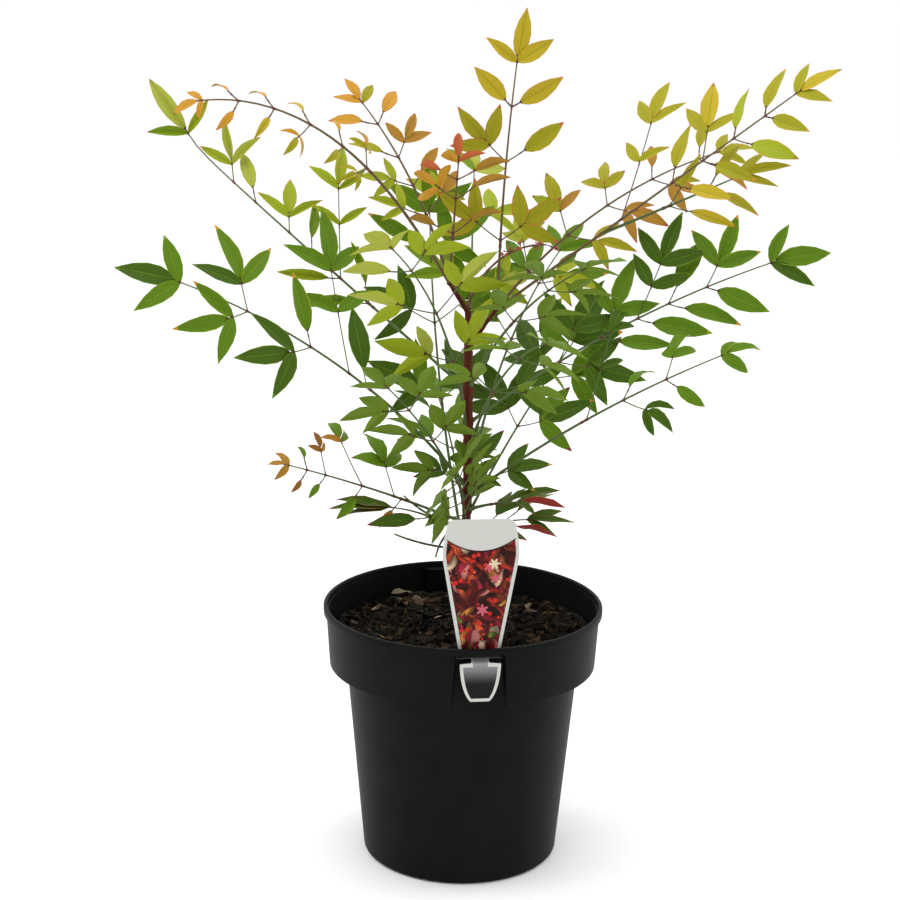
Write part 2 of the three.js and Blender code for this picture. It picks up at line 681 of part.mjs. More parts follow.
const made = { pot: makePot(), potting_mix: makeMix(), plant_label: makeLabel(), main_stem: cane() };
for (const [name, piece] of Object.entries(made)) {
  addNode(name, piece, FINISH[name]);
  settle(piece, name);
}
keepOut.push(cane(GAP));

for (const fork of FORKS) {
  const path = course(caneCentre(fork.height), fork);
  addNode(fork.name, grow(fork.name, path, 0, 1, LIMB), FINISH.main_stem);
  tips.set(fork.name, path.points.at(-1));
}

const fronds = FRONDS.map((row, i) => ({ ...HABIT, ...row, leaves: `${row.name}_leaves`, seed: i + 1 }));
for (const frond of fronds) {
  const stalk = `${frond.name}_stalk`;
  frond.path = course(startOf(frond), frond);
  frond.bare ??= frond.nodes[0][0] - BARE_END / frond.length;
  addNode(stalk, grow(stalk, frond.path, 0, frond.bare, LIMB), FINISH.stalk);
  tips.set(frond.name, along(frond.path.points, frond.bare));
}
for (const stub of STUBS) {
  const path = course(caneCentre(stub.height), stub);
  addNode(stub.name, grow(stub.name, path, 0, 1, LIMB), FINISH.stalk);
}
for (const frond of fronds) {
  frond.rachis = grow(frond.leaves, frond.path, frond.bare + GAP / frond.length, 1, RACHIS);
}
addFlowerSpray();
fronds.forEach(addLeaves);

export default model;
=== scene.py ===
"""Heavenly bamboo in its nursery pot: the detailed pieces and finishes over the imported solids.

The fronds are grown again by the rule that made the solids, from the same named sizes, and
carried on to fine twigs, joints and thin leaflets. Sizes are in millimetres until a mesh is made.
"""

import logging
import math
from collections.abc import Sequence
from dataclasses import dataclass, fields
from enum import Enum, member
from functools import cache

import bpy
import numpy as np
from bpy.types import Material, Node, NodeSocket, NodeTree, Object
from mathutils import Matrix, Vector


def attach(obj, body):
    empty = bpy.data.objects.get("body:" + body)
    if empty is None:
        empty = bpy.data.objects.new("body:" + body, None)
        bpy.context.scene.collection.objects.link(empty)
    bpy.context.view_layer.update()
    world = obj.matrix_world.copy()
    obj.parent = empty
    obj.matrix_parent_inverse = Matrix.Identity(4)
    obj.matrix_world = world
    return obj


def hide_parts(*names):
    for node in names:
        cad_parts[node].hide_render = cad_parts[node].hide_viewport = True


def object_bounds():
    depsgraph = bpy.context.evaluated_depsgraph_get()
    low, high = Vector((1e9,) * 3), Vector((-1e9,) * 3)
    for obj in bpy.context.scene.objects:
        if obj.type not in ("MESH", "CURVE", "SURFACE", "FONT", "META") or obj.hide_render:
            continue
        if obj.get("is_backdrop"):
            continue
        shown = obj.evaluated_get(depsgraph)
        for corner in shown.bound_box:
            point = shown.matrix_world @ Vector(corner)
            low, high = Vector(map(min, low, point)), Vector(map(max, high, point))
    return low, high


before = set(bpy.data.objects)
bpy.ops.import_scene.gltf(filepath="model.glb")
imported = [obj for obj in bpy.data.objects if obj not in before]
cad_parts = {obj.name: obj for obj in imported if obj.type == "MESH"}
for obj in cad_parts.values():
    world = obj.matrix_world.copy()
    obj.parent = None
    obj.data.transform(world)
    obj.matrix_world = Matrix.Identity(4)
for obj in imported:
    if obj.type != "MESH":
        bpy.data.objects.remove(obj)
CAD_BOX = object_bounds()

log = logging.getLogger("heavenly_bamboo")

MM = 0.001  # metres in a millimetre
UP = np.array([0.0, 0.0, 1.0])
TINY = 1e-12

Array = np.ndarray
Pair = tuple[float, float]
Triple = tuple[float, float, float]


# ---- numbers and vectors


class Draws:
    """Seeded draws, the same as those that grew the solids: x turns into FACTOR x mod MODULUS."""

    FACTOR, MODULUS = 48271, 2147483647
    SEED_STEP, SEED_START = 7919, 17

    def __init__(self, seed: int) -> None:
        """Start the draws from a seed."""
        self.state = seed * self.SEED_STEP + self.SEED_START

    def __call__(self, spread: float) -> float:
        """Return a number between minus the spread and the spread."""
        self.state = self.state * self.FACTOR % self.MODULUS
        return (2 * self.state / self.MODULUS - 1) * spread


def unit(vector: Array) -> Array:
    """Return the vectors of the last axis at length one."""
    return vector / np.maximum(np.linalg.norm(vector, axis=-1, keepdims=True), TINY)


def turned(vector: Array, axis: Array, degrees: float) -> Array:
    """Turn a vector about a unit axis, by Rodrigues' formula.

    Args:
        vector: What is turned.
        axis: The unit axis.
        degrees: The angle, right-handed.

    Returns:
        v cos a + (axis x v) sin a + axis (axis . v)(1 - cos a).
    """
    angle = math.radians(degrees)
    along_axis = axis * (axis @ vector) * (1 - math.cos(angle))
    return vector * math.cos(angle) + np.cross(axis, vector) * math.sin(angle) + along_axis


def squared(vector: Array, to: Array) -> Array:
    """Return the unit part of one vector that is square to another."""
    return unit(vector - to * (vector @ to))


def heading(bearing: float, rise: float) -> Array:
    """Return the unit direction with this bearing and rise, in degrees."""
    b, r = math.radians(bearing), math.radians(rise)
    return np.array([math.cos(r) * math.cos(b), math.cos(r) * math.sin(b), math.sin(r)])


def smooth(low: float, high: float, value: Array) -> Array:
    """Return 0 below low, 1 above high, and 3t^2 - 2t^3 between them."""
    t = np.clip((value - low) / (high - low), 0.0, 1.0)
    return t * t * (3 - 2 * t)


def ripple(points: Array, length: float, seed: int, waves: int = 9) -> Array:
    """Return a smooth uneven height over points, as a sum of seeded sine waves.

    Args:
        points: Places, with the coordinates on the last axis.
        length: The typical wave length, in the points' units.
        seed: The seed of the directions and phases.
        waves: How many waves are summed.

    Returns:
        The sum of sin(k . p + phase) over the waves, over the root of half their number.
    """
    draw = np.random.default_rng(seed)
    ways = unit(draw.normal(size=(waves, points.shape[-1])))
    rates = 2 * math.pi / (length * draw.uniform(0.6, 1.7, waves))
    phases = draw.uniform(0, 2 * math.pi, waves)
    return np.sin(points @ (ways * rates[:, None]).T + phases).sum(-1) / math.sqrt(waves / 2)


def lumpy(line: Array, sides: int, share: float, length: float, seed: int) -> Array:
    """Return an uneven factor near 1 for each point of each ring along a line, by ripple."""
    return 1 + share * ripple(np.repeat(line[:, None], sides, 1), length, seed)


def round_turn(count: int) -> Array:
    """Return this many angles, evenly spaced round one turn."""
    return 2 * math.pi * np.arange(count) / count


def spun(p: Array, q: Array, angle: Array) -> tuple[Array, Array]:
    """Turn pairs of coordinates: p cos a - q sin a and p sin a + q cos a."""
    return p * np.cos(angle) - q * np.sin(angle), p * np.sin(angle) + q * np.cos(angle)


# ---- meshes


class Skin:
    """Points, polygons, finish numbers and pattern coordinates gathered for one mesh."""

    def __init__(self) -> None:
        """Start with nothing gathered."""
        self.points: list[Array] = []
        self.faces: list[Array] = []
        self.finishes: list[Array] = []
        self.pattern: list[Array] = []
        self.count = 0

    def add(self, points: Array, polygons: Sequence[Array], finishes: Sequence[Array | int],
            pattern: Array | None = None) -> None:
        """Gather a form.

        Args:
            points: Its points, in millimetres.
            polygons: Arrays of vertex numbers, one row a polygon, one array a polygon size.
            finishes: For each of those arrays, its rows' finish numbers, or one for all.
            pattern: Two pattern coordinates a point, or none.
        """
        points = points.reshape(-1, 3)
        for rows, finish in zip(polygons, finishes):
            self.faces.append(rows + self.count)
            self.finishes.append(np.broadcast_to(finish, len(rows)).astype(np.int32))
        self.points.append(points)
        flat = np.zeros((len(points), 2)) if pattern is None else pattern.reshape(-1, 2)
        self.pattern.append(flat)
        self.count += len(points)

    def add_tube(self, path: Array, radii: Array, sides: int, finishes: Sequence[Array | int],
                 shape: Array | None = None) -> None:
        """Gather a tube, with finishes for its side, its foot and its end."""
        points, polygons, pattern = tube(path, radii, sides, shape)
        self.add(points, polygons, finishes, pattern)

    def piece(self, name: str, looks: Sequence["Finish | PrintedBlades | Tone"],
              sharp: float = 40.0) -> Object:
        """Make the mesh object that holds all that was gathered.

        Args:
            name: The piece's name.
            looks: What its materials are made from, in the order of the finish numbers.
            sharp: The angle between faces past which an edge is shaded as a crease.

        Returns:
            The new object, at the origin.
        """
        mesh = bpy.data.meshes.new(name)
        points = np.concatenate(self.points) * MM
        corners = np.concatenate([rows.ravel() for rows in self.faces])
        sizes = np.concatenate([np.full(len(rows), rows.shape[1]) for rows in self.faces])
        mesh.vertices.add(len(points))
        mesh.vertices.foreach_set("co", points.ravel())
        mesh.loops.add(len(corners))
        mesh.loops.foreach_set("vertex_index", corners.astype(np.int32))
        mesh.polygons.add(len(sizes))
        mesh.polygons.foreach_set("loop_start", (np.cumsum(sizes) - sizes).astype(np.int32))
        mesh.polygons.foreach_set("material_index", np.concatenate(self.finishes))
        mesh.polygons.foreach_set("use_smooth", np.ones(len(sizes), dtype=bool))
        layer = mesh.uv_layers.new(name="Pattern")
        layer.data.foreach_set("uv", np.concatenate(self.pattern)[corners].ravel())
        mesh.update(calc_edges=True)
        mesh.validate()
        mesh.set_sharp_from_angle(angle=math.radians(sharp))
        for look in looks:
            mesh.materials.append(look.material())
        piece = bpy.data.objects.new(name, mesh)
        bpy.context.collection.objects.link(piece)
        return piece


def place(piece: Object, slot: str, *nodes: str) -> None:
    """Let a piece ride on the plant's one body, in place of some solids.

    Args:
        piece: The new piece.
        slot: The record's material slot of its finish; not used.
        nodes: The solids that it stands for.
    """
    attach(piece, "root")
    if nodes:
        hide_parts(*nodes)
    log.info("%s: %d faces, for %d solids", piece.name, len(piece.data.polygons), len(nodes))


def ring_quads(rings: int, around: int) -> Array:
    """Return the quads between rings of points whose last point joins the first.

    Args:
        rings: How many rings there are.
        around: How many points each has, counter-clockwise about the way they are stacked.

    Returns:
        Vertex numbers, four a row, facing outwards.
    """
    k, m = np.meshgrid(np.arange(rings - 1), np.arange(around), indexing="ij")
    here, after = k * around + m, k * around + (m + 1) % around
    return np.stack([here, after, after + around, here + around], -1).reshape(-1, 4)


def closed_rings(rings: int, around: int) -> list[Array]:
    """Return the quads between rings, and the polygons that close the first and the last."""
    first = np.arange(around)
    return [ring_quads(rings, around), first[::-1][None], (first + (rings - 1) * around)[None]]


def tube(path: Array, radii: Array, sides: int,
         shape: Array | None = None) -> tuple[Array, list[Array], Array]:
    """Carry a round profile along a path, closed at both ends.

    Args:
        path: The path's points.
        radii: The radius at each of them.
        sides: How many points the profile has.
        shape: A factor on the radius at each point of each ring, or none.

    Returns:
        The points, path(k) + r(k) (cos a side(k) + sin a upper(k)), the polygons, and the
        pattern coordinates: the share round the profile and the length along the path.
    """
    ways = unit(np.gradient(path, axis=0))
    reference = np.eye(3)[np.argmin(np.abs(ways.mean(0)))]
    side = unit(np.cross(reference, ways))
    upper = np.cross(ways, side)
    angle = round_turn(sides)
    spokes = np.cos(angle)[:, None] * side[:, None] + np.sin(angle)[:, None] * upper[:, None]
    reach = np.asarray(radii)[:, None] * (1.0 if shape is None else shape)
    points = path[:, None] + spokes * np.broadcast_to(reach, (len(path), sides))[..., None]
    length = np.concatenate([[0], np.linalg.norm(np.diff(path, axis=0), axis=1).cumsum()])
    pattern = np.stack(np.broadcast_arrays(angle[None] / (2 * math.pi), length[:, None]), -1)
    return points, closed_rings(len(path), sides), pattern


def sheet_skin(front: Array, back: Array) -> tuple[Array, list[Array]]:
    """Close two grids of points, one over the other, into a thin body.

    Args:
        front: A grid of points whose rows go up and whose columns go to the right.
        back: The grid behind it, of the same size.

    Returns:
        All the points, and the polygons of the front, the back and the rim between them.
    """
    rows, columns = front.shape[:2]
    k, m = np.meshgrid(np.arange(rows - 1), np.arange(columns - 1), indexing="ij")
    here = (k * columns + m).ravel()
    face = np.stack([here, here + 1, here + columns + 1, here + columns], -1)
    grid = np.arange(rows * columns).reshape(rows, columns)
    rim = np.concatenate([grid[0], grid[1:, -1], grid[-1, -2::-1], grid[-2:0:-1, 0]])
    after = np.roll(rim, -1)
    behind = rows * columns
    walls = np.stack([rim + behind, after + behind, after, rim], -1)
    points = np.concatenate([front.reshape(-1, 3), back.reshape(-1, 3)])
    return points, [face, face[:, ::-1] + behind, walls]


# ---- finishes


def linear(tone: str) -> tuple[float, float, float, float]:
    """Return a web colour as linear red, green, blue and alpha."""
    parts = [int(tone[i : i + 2], 16) / 255 for i in (1, 3, 5)]
    lines = [c / 12.92 if c <= 0.04045 else ((c + 0.055) / 1.055) ** 2.4 for c in parts]
    return (*lines, 1.0)


def add_node(tree: NodeTree, kind: str, **links: object) -> Node:
    """Add a node, set its options and values, and link what it reads.

    Args:
        tree: The node tree it goes in.
        kind: The node's type without its ShaderNode prefix.
        links: An option's name, or a socket's name or number after an underscore, with the
            value or the socket that feeds it. Spaces are written as underscores.

    Returns:
        The new node.
    """
    made = tree.nodes.new("ShaderNode" + kind)
    for key, value in links.items():
        if hasattr(made, key):
            setattr(made, key, value)
            continue
        label = key.strip("_").replace("_", " ")
        socket = made.inputs[int(label)] if label.isdigit() else made.inputs[label]
        if isinstance(value, NodeSocket):
            tree.links.new(value, socket)
        else:
            socket.default_value = value
    return made


class Effect:
    """A shader node group under construction: named inputs in, masks and values out."""

    def __init__(self, name: str, inputs: dict[str, float], outputs: Sequence[str]) -> None:
        """Make the group with its input sockets, each at its usual value, and its outputs."""
        self.tree = bpy.data.node_groups.new(name, "ShaderNodeTree")
        add_socket = self.tree.interface.new_socket
        for label, value in inputs.items():
            add_socket(label, in_out="INPUT", socket_type="NodeSocketFloat").default_value = value
        for label in outputs:
            add_socket(label, in_out="OUTPUT", socket_type="NodeSocketFloat")
        self.taken = self.tree.nodes.new("NodeGroupInput").outputs
        self.given = self.tree.nodes.new("NodeGroupOutput").inputs

    def node(self, kind: str, **links: object) -> Node:
        """Add a node and feed its sockets, as add_node does."""
        return add_node(self.tree, kind, **links)

    def out(self, kind: str, output: str | int, **links: object) -> NodeSocket:
        """Add a node and return one of its outputs."""
        return self.node(kind, **links).outputs[output]

    def math(self, operation: str, *values: NodeSocket | float) -> NodeSocket:
        """Return the result of an operation on sockets or numbers."""
        return self.out("Math", 0, operation=operation, **{f"_{i}": value for i, value in enumerate(values)})

    def close(self, *results: NodeSocket) -> NodeTree:
        """Send the results to the outputs in their order, and return the group."""
        for result, socket in zip(results, self.given):
            self.tree.links.new(result, socket)
        return self.tree


@cache
def grain_effect() -> NodeTree:
    """Make the group for fine uneven grain: a height and a soft mask of large patches."""
    fx = Effect("fine_grain", {"Grain": 2500.0, "Patch": 60.0}, ("Height", "Patches"))
    spot = fx.out("TexCoord", "Object")
    fine = fx.out("TexNoise", "Fac", _Vector=spot, _Scale=fx.taken["Grain"], _Detail=2.0)
    patch = fx.out("TexNoise", "Fac", _Vector=spot, _Scale=fx.taken["Patch"], _Detail=3.0)
    return fx.close(fine, fx.out("MapRange", 0, _Value=patch, _From_Min=0.38, _From_Max=0.62))


@cache
def fibre_effect() -> NodeTree:
    """Make the group for fibres that run up the plant: noise drawn out along the height."""
    fx = Effect("long_fibres", {"Across": 900.0, "Drawn Out": 0.06}, ("Height", "Streaks"))
    split = fx.node("SeparateXYZ", _Vector=fx.out("TexCoord", "Object")).outputs
    low = fx.math("MULTIPLY", split["Z"], fx.taken["Drawn Out"])
    drawn = fx.out("CombineXYZ", 0, _X=split["X"], _Y=split["Y"], _Z=low)
    fine = fx.out("TexNoise", "Fac", _Vector=drawn, _Scale=fx.taken["Across"], _Detail=3.0)
    broad = fx.out("TexNoise", "Fac", _Vector=drawn, _Scale=260.0, _Detail=2.0)
    return fx.close(fine, fx.out("MapRange", 0, _Value=broad, _From_Min=0.35, _From_Max=0.65))


@cache
def vein_effect() -> NodeTree:
    """Make the group for leaf veins: a groove at the midrib and slanting side veins.

    The pattern's first coordinate runs across the leaf, the second along it. A side vein is
    where the sine of (along - slant x distance from the midrib) is near its top.
    """
    fx = Effect("leaf_veins", {"Veins": 9.0, "Slant": 0.35}, ("Height",))
    split = fx.node("SeparateXYZ", _Vector=fx.out("UVMap", 0, uv_map="Pattern")).outputs
    away = fx.math("ABSOLUTE", fx.math("SUBTRACT", split["X"], 0.5))
    level = fx.math("SUBTRACT", split["Y"], fx.math("MULTIPLY", away, fx.taken["Slant"]))
    turns = fx.math("MULTIPLY", level, fx.taken["Veins"])
    wave = fx.math("SINE", fx.math("MULTIPLY", turns, 2 * math.pi))
    sides = fx.out("MapRange", 0, _Value=wave, _From_Min=0.7, _From_Max=1.0, _To_Max=0.35)
    rib = fx.out("MapRange", 0, _Value=away, _From_Min=0.05, _From_Max=0.0)
    return fx.close(fx.math("MAXIMUM", sides, rib))


@cache
def fade_effect() -> NodeTree:
    """Make the group for a fade up the height: fine grain, and 0 to 1 between two heights."""
    fx = Effect("height_fade", {"Low": 0.161, "High": 0.181}, ("Height", "Fade"))
    spot = fx.out("TexCoord", "Object")
    fine = fx.out("TexNoise", "Fac", _Vector=spot, _Scale=1500.0, _Detail=1.0)
    height = fx.out("SeparateXYZ", "Z", _Vector=spot)
    fade = fx.out("MapRange", 0, interpolation_type="SMOOTHSTEP", _Value=height,
                  _From_Min=fx.taken["Low"], _From_Max=fx.taken["High"])
    return fx.close(fine, fade)


@cache
def mosaic_effect() -> NodeTree:
    """Make the group for a printed mosaic of slender blades, each with a number of its own.

    Places are swayed by noise, turned about the depth, drawn out along one way, and split
    into the cells of a Voronoi pattern.
    """
    fx = Effect("blade_mosaic", {"Turn": 0.6, "Wide": 330.0, "Long": 95.0}, ("Height", "Pick", "Middle"))
    spot = fx.out("TexCoord", "Object")
    sway = fx.node("TexNoise", _Vector=spot, _Scale=80.0, _Detail=1.0).outputs
    moved = fx.out("VectorMath", 0, operation="MULTIPLY_ADD", _0=sway["Color"], _1=(0.014, 0.0, 0.014),
                   _2=spot)
    aslant = fx.out("VectorRotate", 0, rotation_type="Y_AXIS", _Vector=moved, _Angle=fx.taken["Turn"])
    split = fx.node("SeparateXYZ", _Vector=aslant).outputs
    wide = fx.math("MULTIPLY", split["X"], fx.taken["Wide"])
    long = fx.math("MULTIPLY", split["Z"], fx.taken["Long"])
    drawn = fx.out("CombineXYZ", 0, _X=wide, _Z=long)
    cells = fx.node("TexVoronoi", _Vector=drawn, _Scale=1.0).outputs
    number = fx.out("SeparateXYZ", "X", _Vector=cells["Color"])
    middle = fx.out("MapRange", 0, _Value=cells["Distance"], _From_Min=0.62, _From_Max=0.08)
    return fx.close(sway["Fac"], number, middle)


class Relief(Enum):
    """The shared effects from which a finish takes its relief and its mask."""

    GRAIN = member(grain_effect)
    FIBRES = member(fibre_effect)
    VEINS = member(vein_effect)
    FADE = member(fade_effect)


def new_material(name: str, shine: float) -> tuple[Material, NodeTree, dict[str, NodeSocket]]:
    """Make a Principled material with this specular level.

    Args:
        name: The material's name.
        shine: Its specular level.

    Returns:
        The material, its node tree and the shader's inputs by name.
    """
    material = bpy.data.materials.new(name)
    material.use_nodes = True
    inputs = material.node_tree.nodes["Principled BSDF"].inputs
    inputs["Specular IOR Level"].default_value = shine
    return material, material.node_tree, {socket.name: socket for socket in inputs}


@dataclass(frozen=True)
class Finish:
    """A surface: one plain tone, or two mixed by a mask, with grain and gloss.

    Args:
        name: The material's name.
        tone: Its main colour.
        second: A colour that a mask brings in, or none.
        rough: The lowest and highest roughness over the grain.
        bump: The strength of the relief.
        depth: The relief's height, in millimetres.
        effect: The shared effect that gives the relief and the mask.
        values: That effect's own input values.
        shine: The specular level.
    """

    name: str
    tone: str
    second: str | None = None
    rough: Pair = (0.5, 0.65)
    bump: float = 0.3
    depth: float = 0.1
    effect: Relief = Relief.GRAIN
    values: tuple[tuple[str, float], ...] = ()
    shine: float = 0.4

    def material(self) -> Material:
        """Make the material, whose relief, roughness and second colour come from nodes.

        Returns:
            A Principled material.
        """
        material, tree, inputs = new_material(self.name, self.shine)
        inputs["Base Color"].default_value = material.diffuse_color = linear(self.tone)
        group = add_node(tree, "Group", node_tree=self.effect.value())
        for label, value in self.values:
            group.inputs[label].default_value = value
        height = group.outputs["Height"]
        low, high = self.rough
        gloss = add_node(tree, "MapRange", _Value=height, _To_Min=low, _To_Max=high)
        tree.links.new(gloss.outputs["Result"], inputs["Roughness"])
        relief = add_node(tree, "Bump", _Strength=self.bump, _Distance=self.depth * MM, _Height=height)
        tree.links.new(relief.outputs["Normal"], inputs["Normal"])
        if self.second is not None:
            blend = add_node(tree, "Mix", data_type="RGBA", _0=group.outputs[1], _6=linear(self.tone),
                             _7=linear(self.second))
            tree.links.new(blend.outputs[2], inputs["Base Color"])
        return material


@dataclass(frozen=True)
class PrintedBlades:
    """A printed ground: two mosaics of slender blades that cross, in a few plain tones.

    Args:
        layers: Each mosaic's turn, and its cells across and along in a metre.
        tones: The tones, each with the number from which a blade is dealt it.
        shade: The factors on the tone at a blade's edge and at its middle.
        patch: The patches in which one mosaic or the other shows, in a metre.
        rough: The lowest and highest roughness over the grain.
        shine: The specular level.
    """

    layers: tuple[Triple, ...] = ((0.75, 300.0, 95.0), (-0.55, 270.0, 80.0))
    tones: tuple[tuple[float, str], ...] = (
        (0.0, "#3c0b08"), (0.12, "#8e1c12"), (0.28, "#b02c1c"), (0.42, "#6a120e"), (0.56, "#a8243a"),
        (0.66, "#c8502c"), (0.76, "#cc7c74"), (0.83, "#d8b896"), (0.86, "#8c1c28"), (0.93, "#76802a"),
        (0.96, "#c07a30"),
    )
    shade: Pair = (0.22, 1.1)
    patch: float = 75.0
    rough: Pair = (0.38, 0.5)
    shine: float = 0.15

    def material(self) -> Material:
        """Make the material, whose colour is dealt by the blades' numbers.

        Returns:
            A Principled material.
        """
        material, tree, inputs = new_material("print_blades", self.shine)
        one, other = (
            add_node(tree, "Group", node_tree=mosaic_effect(), _Turn=turn, _Wide=wide, _Long=long).outputs
            for turn, wide, long in self.layers
        )
        grain = add_node(tree, "Group", node_tree=grain_effect(), _Patch=self.patch).outputs
        mask = add_node(tree, "Math", operation="GREATER_THAN", _0=grain["Patches"], _1=0.5).outputs[0]
        pick, middle = (
            add_node(tree, "Mix", data_type="FLOAT", _0=mask, _2=one[label], _3=other[label]).outputs[0]
            for label in ("Pick", "Middle")
        )
        dealt = add_node(tree, "ValToRGB", _0=pick)
        ramp = dealt.color_ramp
        ramp.interpolation = "CONSTANT"
        while len(ramp.elements) < len(self.tones):
            ramp.elements.new(1.0)
        for element, (start, tone) in zip(ramp.elements, self.tones):
            element.position, element.color = start, linear(tone)
        low, high = self.shade
        shade = add_node(tree, "MapRange", _Value=middle, _To_Min=low, _To_Max=high)
        colour = add_node(tree, "Mix", data_type="RGBA", blend_type="MULTIPLY", _0=1.0,
                          _6=dealt.outputs["Color"], _7=shade.outputs[0])
        tree.links.new(colour.outputs[2], inputs["Base Color"])
        low, high = self.rough
        gloss = add_node(tree, "MapRange", _Value=grain["Height"], _To_Min=low, _To_Max=high)
        tree.links.new(gloss.outputs["Result"], inputs["Roughness"])
        return material


# ---- tones of the foliage


class Tone(Enum):
    """The plain tones that leaves, stalks and litter are dealt."""

    DEEP_GREEN = "#405c12"
    LEAF_GREEN = "#587a12"
    FRESH_GREEN = "#6e8c18"
    MOSS = "#565a1e"
    DULL_GREEN = "#637c22"
    PALE_GREEN = "#a2a83e"
    LIME = "#93a01e"
    YELLOW_GREEN = "#98941a"
    GOLD = "#b4a024"
    AMBER = "#c4902c"
    TAN = "#a2782a"
    BRONZE = "#875a22"
    COPPER = "#be6238"
    ROSE = "#b0463a"
    RED = "#862a1e"
    HUSK = "#6e5f4c"
    DRY = "#4a3828"
    STALK_RED = "#4f2416"

    @cache
    def material(self) -> Material:
        """Return this tone's leaf material, made the first time."""
        return Finish("blade_" + self.name.lower(), self.value, rough=(0.42, 0.56), bump=0.8, depth=0.3,
                      effect=Relief.VEINS, shine=0.12).material()


(DEEP_GREEN, LEAF_GREEN, FRESH_GREEN, MOSS, DULL_GREEN, PALE_GREEN, LIME, YELLOW_GREEN, GOLD, AMBER,
 TAN, BRONZE, COPPER, ROSE, RED, HUSK, DRY, STALK_RED) = Tone


# The midrib's tone for each blade tone, a step lighter: the midrib's own paler colour, with a painted
# highlight along the leaf's fold.
MIDRIB_TONES_AND_HIGHLIGHT = {
    DEEP_GREEN: LEAF_GREEN, LEAF_GREEN: FRESH_GREEN, FRESH_GREEN: LIME, LIME: PALE_GREEN, GOLD: YELLOW_GREEN,
    TAN: AMBER, BRONZE: TAN, COPPER: AMBER,
}


@dataclass(frozen=True)
class Tint:
    """The tones of one leaflet: blade, margin, tip and underside; its midrib follows the blade, a step
    lighter: the midrib's own paler colour with a painted highlight along the fold.
    """

    blade: Tone
    margin: Tone
    tip: Tone
    under: Tone

    @property
    def rib(self) -> Tone:
        """Return the midrib's tone, a step lighter than the blade: its own paler colour, with a painted
        highlight along the fold.
        """
        return MIDRIB_TONES_AND_HIGHLIGHT.get(self.blade, self.blade)


def tint(blade: Tone, margin: Tone | None = None, tip: Tone | None = None, under: Tone = DULL_GREEN) -> Tint:
    """Return a tint whose missing margin follows the blade, and whose missing tip the margin."""
    return Tint(blade, margin or blade, tip or margin or blade, under)


class Foliage(Enum):
    """A frond's kind of foliage: the tints that its sprays are dealt, in order from foot to tip."""

    # On green leaflets a margin a step lighter than the blade is a painted highlight along the edge; red,
    # rose, copper and amber margins and tips are the leaves' own autumn colour.
    GREEN = (
        tint(DEEP_GREEN, LEAF_GREEN), tint(LEAF_GREEN, FRESH_GREEN),
        tint(DEEP_GREEN, FRESH_GREEN, LEAF_GREEN), tint(LEAF_GREEN, FRESH_GREEN, LIME),
        tint(LEAF_GREEN, LIME, AMBER), tint(LEAF_GREEN, FRESH_GREEN),
    )
    DEEP = (
        tint(DEEP_GREEN, MOSS, RED), tint(DEEP_GREEN, LEAF_GREEN, AMBER), tint(LEAF_GREEN, FRESH_GREEN, RED),
        tint(DEEP_GREEN, LEAF_GREEN), tint(LEAF_GREEN, FRESH_GREEN),
    )
    LIMEY = (
        tint(FRESH_GREEN, LIME, under=LIME), tint(LIME, YELLOW_GREEN, under=PALE_GREEN),
        tint(LIME, YELLOW_GREEN, AMBER, LIME), tint(FRESH_GREEN, YELLOW_GREEN, TAN, LIME),
        tint(LIME, YELLOW_GREEN, AMBER, PALE_GREEN), tint(PALE_GREEN, LIME, YELLOW_GREEN, PALE_GREEN),
    )
    GOLDEN = (
        tint(YELLOW_GREEN, COPPER, COPPER, YELLOW_GREEN), tint(YELLOW_GREEN, AMBER, COPPER, YELLOW_GREEN),
        tint(GOLD, AMBER, AMBER, YELLOW_GREEN), tint(GOLD, AMBER, AMBER, GOLD),
    )
    MELLOW = (
        tint(YELLOW_GREEN, AMBER, AMBER, YELLOW_GREEN), tint(GOLD, AMBER, TAN, YELLOW_GREEN),
        tint(YELLOW_GREEN, TAN, AMBER, YELLOW_GREEN), tint(LIME, AMBER, TAN, YELLOW_GREEN),
        tint(YELLOW_GREEN, AMBER, COPPER, LIME), tint(YELLOW_GREEN, GOLD, AMBER, GOLD),
    )
    OLIVE = (
        tint(LIME, TAN, TAN, LIME), tint(YELLOW_GREEN, TAN, BRONZE, YELLOW_GREEN),
        tint(TAN, AMBER, COPPER, YELLOW_GREEN), tint(AMBER, COPPER, COPPER, TAN),
    )
    RUSSET = (
        tint(LIME, TAN, BRONZE, YELLOW_GREEN), tint(YELLOW_GREEN, COPPER, ROSE, YELLOW_GREEN),
        tint(YELLOW_GREEN, TAN, BRONZE, YELLOW_GREEN), tint(TAN, COPPER, ROSE, YELLOW_GREEN),
        tint(YELLOW_GREEN, AMBER, COPPER, TAN),
    )
    BRONZED = (
        tint(YELLOW_GREEN, AMBER, COPPER, TAN), tint(AMBER, TAN, ROSE, TAN), tint(GOLD, AMBER, COPPER, AMBER),
        tint(AMBER, COPPER, ROSE, TAN), tint(AMBER, COPPER, RED, COPPER),
    )
    COPPERY = (
        tint(TAN, COPPER, ROSE, TAN), tint(AMBER, COPPER, ROSE, AMBER), tint(COPPER, ROSE, ROSE, AMBER),
        tint(COPPER, ROSE, RED, COPPER),
    )
    SCORCHED = (
        tint(DEEP_GREEN, RED, RED), tint(LEAF_GREEN, FRESH_GREEN, RED), tint(LEAF_GREEN, BRONZE, COPPER),
        tint(BRONZE, COPPER, RED, TAN), tint(TAN, COPPER, RED, BRONZE),
    )
    BLUSHED = (
        tint(DEEP_GREEN, RED, RED), tint(MOSS, ROSE, RED, BRONZE), tint(LEAF_GREEN, BRONZE, RED),
        tint(RED, ROSE, RED, MOSS), tint(DEEP_GREEN, ROSE, RED, MOSS),
    )


(GREEN, DEEP, LIMEY, GOLDEN, MELLOW, OLIVE, RUSSET, BRONZED, COPPERY, SCORCHED, BLUSHED) = Foliage


# ---- the growth rule


